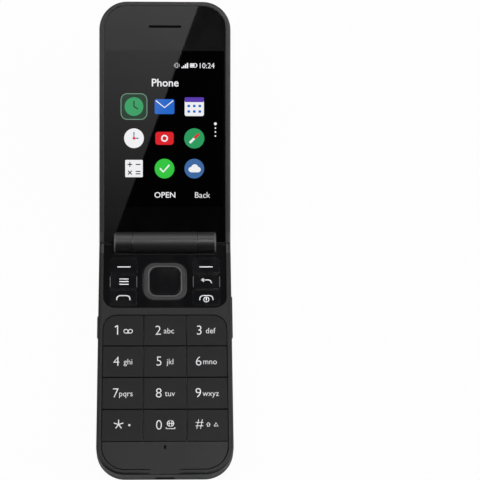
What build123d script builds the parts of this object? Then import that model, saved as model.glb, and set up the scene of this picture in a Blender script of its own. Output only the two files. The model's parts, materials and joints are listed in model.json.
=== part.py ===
from build123d import *
import math
import os

# Flip phone: a keypad base and a display lid on one hinge barrel. Lengths in millimetres, angles
# in degrees. The base lies flat on its back, its back face on z = 0 and centred on the origin.
# +X is the user's right, the hinge lies towards +Y and +Z points up out of the keypad.

# Outer form of the two halves
BODY_WIDTH = 54.6
HALF_LENGTH = 100.5          # hinge axis to the tip of either half
BASE_THICKNESS = 10.7
LID_THICKNESS = 7.7
HALVES_GAP = 0.3             # between the two inner rims when closed
OPEN_ANGLE = 155.0
TIP_CORNER_RADIUS = 11.6
EDGE_RADIUS = 4.5            # side rounding of the two outer faces
RIM_BEVEL = 0.5
HOLLOW_BEVEL = 0.7           # bevel of a hollow, as a share of the radius it would have
LID_TIP_CURVE = 14.5         # the lid's outer face curves inwards over this length at the tip
LID_TIP_DROP = 1.6
END_CLEARANCE = 0.2          # each hinge end face stands off the plane where the halves meet

# Shells
FRONT_COVER_DEPTH = 5.5      # base rim down to the seam with the battery cover
SEAM_GAP = 0.12
BATTERY_COVER_WALL = 0.9
FRONT_COVER_WALL = 1.2
SEAM_LIP_WALL = 0.7
SEAM_LIP_DEPTH = 0.8
SEAM_LIP_ROOT = 0.3          # how far the lip reaches up inside the front cover
LID_FRAME_DEPTH = 3.2        # lid rim down to the lid's seam
LID_FRAME_WALL = 1.2
LID_COVER_WALL = 1.7
FIT = 0.1                    # clearance round a part that sits in a pocket
BOND = 0.05                  # adhesive between stacked flat parts

# Hinge barrel
BARREL_RADIUS = 4.3
BARREL_SHOULDER = 6.1        # barrel end to the side of the phone
OUTER_KNUCKLE_LENGTH = 7.9   # knuckle and cap at each end of the barrel
KNUCKLE_GAP = 0.15
BARREL_CLEARANCE = 0.15      # trough round a turning knuckle
TROUGH_WALL = 0.75
HINGE_BORE = 2.6
HINGE_CAP_LENGTH = 0.7
HINGE_CAP_EDGE = 0.5
HINGE_RUNNING_GAP = 0.05
CAM_SHAFT_RADIUS = 1.5
HINGE_MODULE_LENGTH = 11.5
CAM_LENGTH = 4.6
SLEEVE_BORE = 1.7
SLEEVE_DEPTH_IN_LID = 5.0

# Base face, from the hinge axis towards the tip
RIM_WIDTH = 1.9
PLATE_START = 0.35           # nav plate and lid window begin just past the hinge axis
PLATE_TO_BARREL = 0.35       # plate edge to the turning barrel
NAV_PLATE_END = 29.15
NAV_PLATE_CORNER = 5.0
NAV_PLATE_THICKNESS = 0.9
NAV_PLATE_SINK = 0.35        # nav plate below the rim
BAND_WIDTH = 3.1             # housing between the nav plate and the keypad
KEYPAD_CORNER = 6.0
CHIN_LENGTH = 13.6           # keypad end to tip
TIP_RIM_WIDTH = 1.7
CHIN_SINK = 0.3
DECK_THICKNESS = 2.1         # rim top to the deck's underside
DECK_OPENING_MARGIN = 0.15   # deck openings are this much larger than the nav plate's
THUMB_NOTCH_WIDTH = 11.6
MIC_HOLE = (0.9, 1.5)
MIC_FROM_KEYPAD = 2.2

# Keys
KEY_SEAM = 0.18
KEY_TRAVEL = 0.3
KEY_SINK = 0.2               # key tops below the rim
KEY_CAP_THICKNESS = 1.4
KEY_EDGE_BEVEL = 0.2
KEY_STEM_HALF = 1.4
STEM_CLEARANCE = 0.45
MIDDLE_COLUMN_WIDTH = 17.4
FUNCTION_KEY_EDGE = 2.6      # function keys to the side of the recess
FUNCTION_KEY_TO_RING = 2.4
FUNCTION_KEY_TO_BARREL = 1.95
FUNCTION_KEY_TO_BAND = 1.05
FUNCTION_KEY_CORNER = 0.6
FUNCTION_KEY_SEAMS = (0.345, 0.668)  # shares of the column's length
RING_SIZE = (18.0, 17.0)
RING_CORNER = 4.8
RING_PROUD = 0.3
RING_THICKNESS = 1.9
RING_BEVEL = 0.55
SELECT_SIZE = (12.1, 11.9)
SELECT_CORNER = 2.7
SELECT_THICKNESS = 1.0
NAV_GAP = 0.14
NAV_PAD_MARGIN = (2.8, 1.1)  # ring side to pad side
NAV_PAD_THICKNESS = 0.35
NAV_PAD_GAP = 0.2
NAV_PAD_CORNER = 2.0

# Keys on the flanks
SIDE_KEY_HEIGHT = 2.0
SIDE_KEY_FROM_DECK = 0.5     # deck underside to the upper edge of a side key
SIDE_KEY_PROUD = 0.45
SIDE_KEY_FLANGE = 0.6
SIDE_KEY_FLANGE_LIP = 0.35   # flange beyond the cap, all round
SIDE_KEY_STANDOFF = 0.3
SIDE_KEY_CLEARANCE = 0.15
SIDE_KEY_ROOM = 0.45
ROCKER_SPAN = (23.2, 41.1)
EMERGENCY_SPAN = (31.8, 41.1)

# Base interior
BOARD_THICKNESS = 0.8
BOARD_EDGE_GAP = 1.0
BOARD_TO_TROUGH = 1.4
DOME_SHEET_THICKNESS = 0.15
DOME_HEIGHT = 0.2
DOME_RADIUS = 2.2
DOME_SIDES = 6
MAT_THICKNESS = 0.4
MAT_OVERHANG = 0.6
CHASSIS_FLOOR = 0.7
CHASSIS_WALL = 0.9
BATTERY_FROM_SPEAKER = 5.0
BATTERY_SIDE_ZONE = 7.6      # battery side to body side
BATTERY_EDGE_RADIUS = 0.8
CONTACT_PITCH = 3.0
CONTACT_WIDTH = 1.2
CONTACT_THICKNESS = 0.25
CAMERA_REACH = 14.0
CAMERA_SIZE = 8.4
CAMERA_BEVEL = 0.8
CAMERA_LENS_RADIUS = 2.6
CAMERA_WINDOW_HALF = 4.4
WINDOW_RECESS = 0.15         # camera window and flash below the back face
FLASH_OFFSET = 9.5
FLASH_HALF = 1.7
FLASH_BEVEL = 0.4
LOUDSPEAKER_SIZE = (11.0, 15.0, 3.0)
LOUDSPEAKER_SIDE = 11.8      # middle of the loudspeaker to the body's side
LOUDSPEAKER_BEVEL = 1.5
LOUDSPEAKER_FRAME = 1.2
LOUDSPEAKER_DISH = 0.4
GRILLE_SLOT = (6.0, 0.8)
GRILLE_PITCH = 1.9
GRILLE_SLOTS = 4
SIM_SIZE = (12.4, 14.6, 1.4)
SIM_SIDE = 11.4
SIM_FRAME = 0.8
SIM_SHEET = 0.2
USB_SIZE = (7.1, 2.2)
USB_DEPTH = 5.6
USB_WALL = 0.3
USB_SINK = 0.35
USB_TONGUE_SIDE = 1.2
USB_TONGUE_THICKNESS = 0.6
JACK_BORE = 1.75
JACK_RADIUS = 2.5
JACK_LENGTH = 14.0
JACK_END = 0.8
JACK_SINK = 0.3
JACK_ROOM = 0.4
JACK_TIP_DISTANCE = 17.5
MOTOR_RADIUS = 4.0
MOTOR_HEIGHT = 2.6
MOTOR_SIDE = 13.3
MOTOR_TIP_DISTANCE = 14.5
MICROPHONE_SIZE = (3.8, 2.6)
MICROPHONE_PORT = 0.4
ANTENNA_THICKNESS = 1.6
ANTENNA_INSET = 2.0
ANTENNA_TO_SOCKET = 2.0
SCREW_RADIUS = 0.7
SCREW_HEAD_RADIUS = 1.3
SCREW_HEAD_HEIGHT = 0.7
SCREW_SIDES = 8
THREAD_GAP = 0.02
BOSS_HALF = 1.5
BOSS_MARGIN = 0.6            # boss to the inside of the cover
BOSS_INBOARD = (0.0, 2.0, 4.5)
BOSS_ROOT = 0.25
CHIN_BOSS_SHARE = 0.36

# Lid, from the hinge axis towards the tip
WINDOW_RIM = 2.1
WINDOW_TIP_RIM = 1.7
WINDOW_SINK = 0.3
WINDOW_THICKNESS = 0.9
TRAY_THICKNESS = 0.8
EARPIECE_SLOT = (13.6, 1.0)
EARPIECE_TIP_DISTANCE = 10.4
EARPIECE_WIDTH = 6.0
EARPIECE_HOLE = 3.2
EARPIECE_THICKNESS = 1.65
EARPIECE_BEVEL = 1.5
EARPIECE_FRAME = 1.2
EARPIECE_DISH = 0.4
MESH_THICKNESS = 0.35
SLOT_ROUNDING = 0.95
DISPLAY_SIDE_MARGIN = 4.2
DISPLAY_START = 15.0
DISPLAY_TIP_DISTANCE = 21.0
DISPLAY_THICKNESS = 1.6
OUTER_WINDOW_SIDE = 1.1
OUTER_WINDOW_END = 55.2
OUTER_WINDOW_CORNER = 6.5
OUTER_WINDOW_THICKNESS = 0.9
OUTER_WINDOW_EDGE = 0.9      # cover left between the window and the hinge end
OUTER_DISPLAY_SIZE = (29.0, 24.0, 1.5)
OUTER_DISPLAY_REACH = 31.0
LID_BOARD_THICKNESS = 0.6
LID_BOARD_MARGIN = 2.0
LID_BOSS_WALL = 0.8
FLEX_THICKNESS = 0.15
FLEX_WIDTH = 1.3
FLEX_NEAR = 0.5
FLEX_ROOM = 0.6
LID_SCREW_SIDE = 8.3         # the two screws beside the barrel
LID_SCREW_REACH = 10.5
LID_SCREW_TIP_DISTANCE = 9.5
MAGNET_SIZE = (8.0, 4.0, 1.4)
MAGNET_TO_EARPIECE = 0.7
MAGNET_TO_BOSS = 1.4
MAGNET_TIP_DISTANCE = 6.7

# Sizes worked out from the ones above
HINGE_Y = HALF_LENGTH / 2
HINGE_Z = BASE_THICKNESS + HALVES_GAP / 2
HALF_WIDTH = BODY_WIDTH / 2
END_LEAN = math.tan(math.radians((180 - OPEN_ANGLE) / 2))
BEYOND = 10.0                # how far construction solids run past the hinge axis
CUT = 1.0                    # how far a cutting solid runs past the face it cuts
SLACK = 0.2                  # for telling edges apart by their place
TOUCH = 0.001

BASE_SPLIT = BASE_THICKNESS - FRONT_COVER_DEPTH
RECESS_HALF = HALF_WIDTH - RIM_WIDTH
FRONT_INNER_HALF = HALF_WIDTH - FRONT_COVER_WALL
KEYPAD_START = NAV_PLATE_END + BAND_WIDTH
KEYPAD_END = HALF_LENGTH - CHIN_LENGTH
RECESS_END = HALF_LENGTH - TIP_RIM_WIDTH
MIC_REACH = KEYPAD_END + MIC_FROM_KEYPAD

BARREL_HALF_WIDTH = HALF_WIDTH - BARREL_SHOULDER
CENTRE_KNUCKLE_HALF = BARREL_HALF_WIDTH - OUTER_KNUCKLE_LENGTH
OUTER_KNUCKLE_START = CENTRE_KNUCKLE_HALF + KNUCKLE_GAP
BARREL_NOTCH = BARREL_HALF_WIDTH + KNUCKLE_GAP
KNUCKLE_END = BARREL_HALF_WIDTH - HINGE_CAP_LENGTH
TROUGH_RADIUS = BARREL_RADIUS + BARREL_CLEARANCE
TROUGH_SHELL = TROUGH_RADIUS + TROUGH_WALL
PLATE_NOTCH_REACH = BARREL_RADIUS + PLATE_TO_BARREL

DECK_UNDERSIDE = BASE_THICKNESS - DECK_THICKNESS
NAV_PLATE_TOP = BASE_THICKNESS - NAV_PLATE_SINK
NAV_PLATE_SEAT = NAV_PLATE_TOP - NAV_PLATE_THICKNESS
CHIN_TOP = BASE_THICKNESS - CHIN_SINK
KEY_TOP = BASE_THICKNESS - KEY_SINK
KEY_CAP_UNDERSIDE = KEY_TOP - KEY_CAP_THICKNESS
MAT_TOP = DECK_UNDERSIDE - BOND
MAT_UNDERSIDE = MAT_TOP - MAT_THICKNESS
DOME_TOP = MAT_UNDERSIDE - KEY_TRAVEL - FIT
DOME_SHEET_TOP = DOME_TOP - DOME_HEIGHT
BOARD_TOP = DOME_SHEET_TOP - DOME_SHEET_THICKNESS
BOARD_UNDERSIDE = BOARD_TOP - BOARD_THICKNESS
CHASSIS_TOP = BOARD_UNDERSIDE - BOND
CHASSIS_UNDERSIDE = CHASSIS_TOP - CHASSIS_FLOOR
STEM_UNDERSIDE = DOME_TOP + KEY_TRAVEL + BOND
RING_TOP = NAV_PLATE_TOP + RING_PROUD
RING_UNDERSIDE = RING_TOP - RING_THICKNESS
SIDE_KEY_Z = (DECK_UNDERSIDE - SIDE_KEY_FROM_DECK - SIDE_KEY_HEIGHT, DECK_UNDERSIDE - SIDE_KEY_FROM_DECK)
FLANGE_OUTER = FRONT_INNER_HALF - SIDE_KEY_STANDOFF
FLANGE_INNER = FLANGE_OUTER - SIDE_KEY_FLANGE
FLANGE_ROOM = FLANGE_INNER - SIDE_KEY_ROOM
USB_HEIGHT = BOARD_UNDERSIDE - BOND - USB_WALL - USB_SIZE[1] / 2
JACK_HEIGHT = DOME_SHEET_TOP - BOND - JACK_RADIUS

FUNCTION_KEY_START = TROUGH_RADIUS + FUNCTION_KEY_TO_BARREL
FUNCTION_KEY_END = NAV_PLATE_END - FUNCTION_KEY_TO_BAND
FUNCTION_KEY_OUTER = RECESS_HALF - FUNCTION_KEY_EDGE
FUNCTION_KEY_INNER = RING_SIZE[0] / 2 + FUNCTION_KEY_TO_RING
RING_REACH = (FUNCTION_KEY_START + FUNCTION_KEY_END) / 2

BOARD_START = TROUGH_SHELL + BOARD_TO_TROUGH
JACK_REACH = HALF_LENGTH - JACK_TIP_DISTANCE
MOTOR_REACH = HALF_LENGTH - MOTOR_TIP_DISTANCE
BATTERY_START = CAMERA_REACH + LOUDSPEAKER_SIZE[1] / 2 + BATTERY_FROM_SPEAKER
BATTERY_END = JACK_REACH - JACK_RADIUS - CHASSIS_WALL - 6 * FIT
BATTERY_HALF = HALF_WIDTH - BATTERY_SIDE_ZONE
BATTERY_UNDERSIDE = BATTERY_COVER_WALL + FIT

LID_RIM = -HALVES_GAP / 2
LID_SEAM = LID_RIM - LID_FRAME_DEPTH
LID_BACK = LID_RIM - LID_THICKNESS
LID_CAVITY_FLOOR = LID_BACK + LID_COVER_WALL
WINDOW_TOP = LID_RIM - WINDOW_SINK
WINDOW_SEAT = WINDOW_TOP - WINDOW_THICKNESS
WINDOW_HALF = HALF_WIDTH - WINDOW_RIM
WINDOW_END = HALF_LENGTH - WINDOW_TIP_RIM
WINDOW_CORNER = TIP_CORNER_RADIUS - WINDOW_RIM + FIT
TRAY_UNDERSIDE = WINDOW_SEAT - TRAY_THICKNESS
DISPLAY_HALF = HALF_WIDTH - DISPLAY_SIDE_MARGIN
DISPLAY_END = HALF_LENGTH - DISPLAY_TIP_DISTANCE
DISPLAY_TOP = WINDOW_SEAT - BOND
DISPLAY_UNDERSIDE = DISPLAY_TOP - DISPLAY_THICKNESS
EARPIECE_REACH = HALF_LENGTH - EARPIECE_TIP_DISTANCE
LID_BOARD_TOP = DISPLAY_UNDERSIDE - 3 * BOND
LID_BOARD_UNDERSIDE = LID_BOARD_TOP - LID_BOARD_THICKNESS
OUTER_WINDOW_HALF = HALF_WIDTH - OUTER_WINDOW_SIDE
OUTER_WINDOW_START = END_CLEARANCE + OUTER_WINDOW_EDGE - LID_THICKNESS * END_LEAN
OUTER_DISPLAY_BACK = LID_BACK + OUTER_WINDOW_THICKNESS + 2 * BOND
LID_BOSS_HALF = SCREW_HEAD_RADIUS + LID_BOSS_WALL
MAGNET_START = EARPIECE_SLOT[0] / 2 + MAGNET_TO_EARPIECE
MAGNET_X = (MAGNET_START, MAGNET_START + MAGNET_SIZE[0])
FLEX_HEIGHT = TRAY_UNDERSIDE - FIT - FLEX_THICKNESS
FLEX_START = SLEEVE_DEPTH_IN_LID - CENTRE_KNUCKLE_HALF + 3 * FIT
FLEX_X = (FLEX_START, FLEX_START + FLEX_WIDTH)


def block(x, y, z):
    """Box between the low and high value of each axis."""
    middles = [(pair[0] + pair[1]) / 2 for pair in (x, y, z)]
    sizes = [pair[1] - pair[0] for pair in (x, y, z)]
    return Pos(*middles) * Box(*sizes)


def tile(x, y, z, radius):
    """Box whose four upright edges are rounded."""
    outline = RectangleRounded(x[1] - x[0], y[1] - y[0], radius)
    placed = Pos((x[0] + x[1]) / 2, (y[0] + y[1]) / 2, z[0]) * outline
    return extrude(placed, z[1] - z[0])


def post(x, y, half, z):
    """Square upright post round a plan point."""
    return block((x - half, x + half), (y - half, y + half), z)


def disc(x, y, z, radius):
    """Upright cylinder between two heights."""
    return Pos(x, y, (z[0] + z[1]) / 2) * Cylinder(radius, z[1] - z[0])


def prism(x, y, z, radius, sides):
    """Upright prism with its corners on a circle."""
    return extrude(Pos(x, y, z[0]) * RegularPolygon(radius, sides), z[1] - z[0])


def rod(x, y, z, radius):
    """Cylinder along X between the two values of x."""
    return Pos((x[0] + x[1]) / 2, y, z) * Rot(0, 90, 0) * Cylinder(radius, x[1] - x[0])


def barrel(x, radius):
    """Cylinder on the hinge axis of the base."""
    return rod(x, HINGE_Y, HINGE_Z, radius)


def span(near, far):
    """Y range in the base for two distances from the hinge axis."""
    return (HINGE_Y - far, HINGE_Y - near)


def both_sides(x):
    """The same X range on the right and on the left."""
    return [x, (-x[1], -x[0])]


def everywhere(z, y=None):
    """Slice that is wider and longer than the phone, between two heights."""
    reach = HALF_LENGTH + 3 * BEYOND
    return block((-BODY_WIDTH, BODY_WIDTH), y or (-reach, reach), z)


def edges_at(solid, height):
    """Edges that lie at one height."""
    return [edge for edge in solid.edges() if abs((edge @ 0.5).Z - height) < TOUCH]


def chamfered_post(x, y, half, z, bevel):
    """Square upright post with its upright edges bevelled."""
    body = post(x, y, half, z)
    return chamfer(body.edges().filter_by(Axis.Z), bevel)


def bevelled_tile(x, y, z, bevel):
    """Box whose four upright edges are bevelled."""
    body = block(x, y, z)
    return chamfer(body.edges().filter_by(Axis.Z), bevel)


def half_form(thickness, tip_drop, inset, rim_bevel):
    """One half of the closed phone, shrunk evenly by inset on its outer faces.

    The hinge axis lies over y = 0, the tip points to -Y, and the outer face is on z = 0. In plan
    it is a strip with two round tip corners. From the side its outer face may rise along an arc
    towards the tip, and its hinge end leans so that the halves meet along one plane when open.
    The outer edges are rounded; a shrunken form, used for hollows, is bevelled there instead.
    """
    half = HALF_WIDTH - inset
    tip = -HALF_LENGTH + inset
    strip = Pos(0, (BEYOND + tip) / 2) * Rectangle(2 * half, BEYOND - tip)
    tip_corners = [v for v in strip.vertices() if v.Y < 0]
    body = extrude(fillet(tip_corners, TIP_CORNER_RADIUS - inset), thickness)
    body &= everywhere((inset, thickness))
    side_plane = Plane(origin=(-BODY_WIDTH, 0, 0), x_dir=(0, 1, 0), z_dir=(1, 0, 0))
    curve_start = -HALF_LENGTH + LID_TIP_CURVE
    if tip_drop:
        arc_radius = (LID_TIP_CURVE ** 2 + tip_drop ** 2) / (2 * tip_drop)
        arc_sweep = math.degrees(math.asin((LID_TIP_CURVE + CUT) / (arc_radius - inset)))
        tip_arc = CenterArc((curve_start, arc_radius), arc_radius - inset, 270 - arc_sweep, arc_sweep)
        far, above = BEYOND + CUT, thickness + CUT
        corners = [tip_arc @ 1, (far, inset), (far, above), ((tip_arc @ 0).X, above), tip_arc @ 0]
        lines = [Line(a, b) for a, b in zip(corners, corners[1:])]
        body &= extrude(side_plane * make_face([tip_arc] + lines), 2 * BODY_WIDTH)

    def is_outer_edge(edge):
        middle = edge @ 0.5
        low = middle.Z < inset + tip_drop + SLACK and edge.bounding_box().size.Z < tip_drop + SLACK
        across = abs(middle.X) < SLACK and abs(middle.Y - curve_start) < SLACK
        return low and not across and abs(middle.Y - BEYOND) > SLACK

    outer_edges = [edge for edge in body.edges() if is_outer_edge(edge)]
    if inset:
        body = chamfer(outer_edges, HOLLOW_BEVEL * (EDGE_RADIUS - inset))
    else:
        body = fillet(outer_edges, EDGE_RADIUS)
    if rim_bevel:
        rim = [edge for edge in edges_at(body, thickness) if abs((edge @ 0.5).Y - BEYOND) > SLACK]
        body = chamfer(rim, rim_bevel)

    axis_height = thickness + HALVES_GAP / 2
    standoff = END_CLEARANCE / math.cos(math.atan(END_LEAN)) + inset

    def end_at(height):
        return (axis_height - height) * END_LEAN - standoff

    top, bottom = axis_height + CUT, -CUT
    reach = -HALF_LENGTH - BEYOND
    slope = ((end_at(bottom), bottom), (end_at(top), top))
    wedge = Polyline(*slope, (reach, top), (reach, bottom), close=True)
    return body & extrude(side_plane * make_face(wedge), 2 * BODY_WIDTH)


def base_form(inset=0.0, rim_bevel=0.0):
    """Outer form of the base in place."""
    return Pos(0, HINGE_Y, 0) * half_form(BASE_THICKNESS, 0.0, inset, rim_bevel)


def lid_form(inset=0.0, rim_bevel=0.0):
    """Outer form of the lid laid flat open, measured from the hinge axis with the tip to +Y."""
    return Pos(0, 0, LID_BACK) * Rot(0, 0, 180) * half_form(LID_THICKNESS, LID_TIP_DROP, inset, rim_bevel)


def place_lid(piece):
    """Move a lid piece from the flat-open hinge frame to the rest pose."""
    return Pos(0, HINGE_Y, HINGE_Z) * Rot(180 - OPEN_ANGLE, 0, 0) * piece


# ---------------------------------------------------------------- places shared by several pieces
def key_columns():
    """X ranges of the three number-key columns, seam to seam."""
    seam = MIDDLE_COLUMN_WIDTH / 2
    return [(-RECESS_HALF, -seam), (-seam, seam), (seam, RECESS_HALF)]


def key_rows():
    """Distances from the hinge of the four number-key rows, seam to seam."""
    pitch = (KEYPAD_END - KEYPAD_START) / 4
    return [(KEYPAD_START + i * pitch, KEYPAD_START + (i + 1) * pitch) for i in range(4)]


def function_keys():
    """Name, X range and reach range of the six keys beside the navigation ring."""
    length = FUNCTION_KEY_END - FUNCTION_KEY_START
    seams = [FUNCTION_KEY_START + share * length for share in (0, *FUNCTION_KEY_SEAMS, 1)]
    rows = list(zip(seams, seams[1:]))
    right = (FUNCTION_KEY_INNER, FUNCTION_KEY_OUTER)
    left = (-FUNCTION_KEY_OUTER, -FUNCTION_KEY_INNER)
    left_names = ("left_soft_key", "menu_key", "call_key")
    right_names = ("right_soft_key", "back_key", "end_key")
    keys = [(name, left, row) for name, row in zip(left_names, rows)]
    return keys + [(name, right, row) for name, row in zip(right_names, rows)]


def number_keys():
    """Name, X range and reach range of the twelve number keys."""
    names = ("1", "2", "3", "4", "5", "6", "7", "8", "9", "star", "0", "hash")
    places = [(column, row) for row in key_rows() for column in key_columns()]
    return [("key_" + name, column, row) for name, (column, row) in zip(names, places)]


def stem_places():
    """Plan position of the stem under every key on the face, and of its dome."""
    places = []
    for name, x, reach in function_keys() + number_keys():
        places.append(((x[0] + x[1]) / 2, HINGE_Y - (reach[0] + reach[1]) / 2))
    places.append((0, HINGE_Y - RING_REACH))
    return places


def boss_places():
    """Plan position of the six screws that hold the chassis to the front cover."""
    near = HINGE_Y - BOARD_START - BOSS_HALF - BOSS_MARGIN
    band = HINGE_Y - NAV_PLATE_END - BAND_WIDTH / 2
    chin = HINGE_Y - KEYPAD_END - CHIN_LENGTH * CHIN_BOSS_SHARE
    outer = FRONT_INNER_HALF - BOSS_HALF - BOSS_MARGIN
    rows = zip((near, band, chin), BOSS_INBOARD)
    return [(side * (outer - inboard), y) for y, inboard in rows for side in (-1, 1)]


def lid_screw_places():
    """Plan position of the four lid screws in the flat-open hinge frame."""
    near_barrel = (HALF_WIDTH - LID_SCREW_SIDE, LID_SCREW_REACH)
    near_tip = (MAGNET_X[1] + MAGNET_TO_BOSS + LID_BOSS_HALF, HALF_LENGTH - LID_SCREW_TIP_DISTANCE)
    return [(side * x, y) for x, y in (near_barrel, near_tip) for side in (-1, 1)]


def side_key_block(side, reach, outer, inner, margin):
    """Block through the base's side wall for a side key, grown by margin."""
    y = span(reach[0] - margin, reach[1] + margin)
    z = (SIDE_KEY_Z[0] - margin, SIDE_KEY_Z[1] + margin)
    x = (inner, outer) if side > 0 else (-outer, -inner)
    return block(x, y, z)


def function_key_openings(z, margin):
    """Openings for the keys beside the navigation ring, grown by margin."""
    solids = []
    for name, x, reach in function_keys():
        y = span(reach[0] + KEY_SEAM / 2 - margin, reach[1] - KEY_SEAM / 2 + margin)
        solids.append(bevelled_tile((x[0] - margin, x[1] + margin), y, z, FUNCTION_KEY_CORNER))
    return solids


def usb_opening(depth, margin):
    """Slot for the charging socket, running in from the tip."""
    half_width = USB_SIZE[0] / 2 + USB_WALL + margin
    half_height = USB_SIZE[1] / 2 + USB_WALL + margin
    z = (USB_HEIGHT - half_height, USB_HEIGHT + half_height)
    return block((-half_width, half_width), span(HALF_LENGTH - depth, HALF_LENGTH + CUT), z)


def jack_opening():
    """Hole for the headset socket through the left side."""
    x = (-HALF_WIDTH - CUT, -HALF_WIDTH + FRONT_COVER_WALL + SEAM_LIP_WALL + CUT)
    return rod(x, HINGE_Y - JACK_REACH, JACK_HEIGHT, JACK_RADIUS + FIT)


# ---------------------------------------------------------------- base shells
def base_front_cover():
    body = base_form(0, RIM_BEVEL) & everywhere((BASE_SPLIT, BASE_THICKNESS + CUT))
    body -= base_form(FRONT_COVER_WALL) & everywhere((0, DECK_UNDERSIDE))
    lip_outer = BATTERY_COVER_WALL + FIT
    lip = base_form(lip_outer) - base_form(lip_outer + SEAM_LIP_WALL)
    body += lip & everywhere((BASE_SPLIT - SEAM_LIP_DEPTH, BASE_SPLIT + SEAM_LIP_ROOT))

    # Solid round the hinge trough
    trough_x = (-OUTER_KNUCKLE_START, OUTER_KNUCKLE_START)
    shell = barrel((trough_x[0] - TROUGH_WALL, trough_x[1] + TROUGH_WALL), TROUGH_SHELL)
    body += shell & base_form() & everywhere((BASE_SPLIT, BASE_THICKNESS))

    # Screw bosses under the deck
    for x, y in boss_places():
        body += post(x, y, BOSS_HALF, (CHASSIS_TOP, DECK_UNDERSIDE + BOSS_ROOT))
        hole_z = (CHASSIS_TOP - CUT, DECK_UNDERSIDE - BOSS_ROOT)
        body -= prism(x, y, hole_z, SCREW_RADIUS + THREAD_GAP, SCREW_SIDES)

    # Nav plate pocket, keypad opening and chin recess
    top = BASE_THICKNESS + CUT
    recess_x = (-RECESS_HALF, RECESS_HALF)
    pocket_y = span(-BEYOND, NAV_PLATE_END + FIT)
    body -= tile(recess_x, pocket_y, (NAV_PLATE_SEAT, top), NAV_PLATE_CORNER)
    opening_z = (DECK_UNDERSIDE - CUT, BASE_THICKNESS)
    for opening in function_key_openings(opening_z, DECK_OPENING_MARGIN):
        body -= opening
    body -= ring_outline(RING_SIZE, RING_CORNER, opening_z, NAV_GAP)
    keypad_y = span(KEYPAD_START, KEYPAD_END + 2 * KEYPAD_CORNER)
    keypad = tile(recess_x, keypad_y, (DECK_UNDERSIDE - CUT, top), KEYPAD_CORNER)
    body -= keypad & everywhere((0, top), span(0, KEYPAD_END))
    recess_y = span(KEYPAD_START, RECESS_END)
    recess = tile(recess_x, recess_y, (CHIN_TOP, top), TIP_CORNER_RADIUS - RIM_WIDTH)
    body -= recess & everywhere((CHIN_TOP, top), span(KEYPAD_END - CUT, HALF_LENGTH))

    # Microphone hole and thumb notch
    mic_y = span(MIC_REACH - MIC_HOLE[1] / 2, MIC_REACH + MIC_HOLE[1] / 2)
    body -= block((-MIC_HOLE[0] / 2, MIC_HOLE[0] / 2), mic_y, (DECK_UNDERSIDE - CUT, BASE_THICKNESS))
    half = THUMB_NOTCH_WIDTH / 2
    notch = Polyline((-half, CHIN_TOP), (half, CHIN_TOP), (half + CUT, top), (-half - CUT, top), close=True)
    notch_plane = Plane(origin=(0, HINGE_Y - HALF_LENGTH - CUT, 0), x_dir=(1, 0, 0), z_dir=(0, -1, 0))
    body -= extrude(notch_plane * make_face(notch), -TIP_RIM_WIDTH - 2 * CUT)

    # Outer knuckles, and the clearances round the lid's knuckle and the end caps
    for x in both_sides((OUTER_KNUCKLE_START, KNUCKLE_END)):
        body += barrel(x, BARREL_RADIUS)
        body -= barrel(x, HINGE_BORE)
    body -= barrel(trough_x, TROUGH_RADIUS)
    for x in both_sides((KNUCKLE_END, BARREL_NOTCH)):
        body -= barrel(x, BARREL_RADIUS + BOND)

    # Openings in the side walls and at the tip
    for side, reach in ((1, ROCKER_SPAN), (-1, EMERGENCY_SPAN)):
        body -= side_key_block(side, reach, HALF_WIDTH + CUT, FRONT_INNER_HALF - CUT, SIDE_KEY_CLEARANCE)
        body -= side_key_block(side, reach, FRONT_INNER_HALF, FLANGE_ROOM, SIDE_KEY_FLANGE_LIP + FIT)
    return body - usb_opening(USB_DEPTH, FIT) - jack_opening()


def battery_cover():
    body = base_form() & everywhere((0, BASE_SPLIT - SEAM_GAP))
    body -= base_form(BATTERY_COVER_WALL) & everywhere((0, BASE_SPLIT))
    body -= usb_opening(USB_DEPTH, FIT)
    body -= jack_opening()
    y = HINGE_Y - CAMERA_REACH
    through = (-CUT, BATTERY_COVER_WALL + CUT)
    body -= chamfered_post(0, y, CAMERA_WINDOW_HALF + FIT, through, CAMERA_BEVEL)
    body -= chamfered_post(FLASH_OFFSET, y, FLASH_HALF + FIT, through, FLASH_BEVEL)
    speaker_x = LOUDSPEAKER_SIDE - HALF_WIDTH
    for i in range(GRILLE_SLOTS):
        slot_y = y + (i - (GRILLE_SLOTS - 1) / 2) * GRILLE_PITCH
        slot_x = (speaker_x - GRILLE_SLOT[0] / 2, speaker_x + GRILLE_SLOT[0] / 2)
        body -= block(slot_x, (slot_y - GRILLE_SLOT[1] / 2, slot_y + GRILLE_SLOT[1] / 2), through)
    return body


def nav_plate():
    plate_x = (-RECESS_HALF + FIT, RECESS_HALF - FIT)
    plate_z = (NAV_PLATE_SEAT, NAV_PLATE_TOP)
    body = tile(plate_x, span(-BEYOND, NAV_PLATE_END), plate_z, NAV_PLATE_CORNER - FIT)
    body &= everywhere(plate_z, span(PLATE_START, HALF_LENGTH))
    body -= block((-BARREL_NOTCH, BARREL_NOTCH), span(-BEYOND, PLATE_NOTCH_REACH), (0, BASE_THICKNESS))
    for opening in function_key_openings((0, BASE_THICKNESS), 0.0):
        body -= opening
    return body - ring_outline(RING_SIZE, RING_CORNER, (0, BASE_THICKNESS), NAV_GAP)


# ---------------------------------------------------------------- keys
def stem(x, y, top):
    """Post under a key that reaches down to its dome."""
    return post(x, y, KEY_STEM_HALF, (STEM_UNDERSIDE, top))


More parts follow.
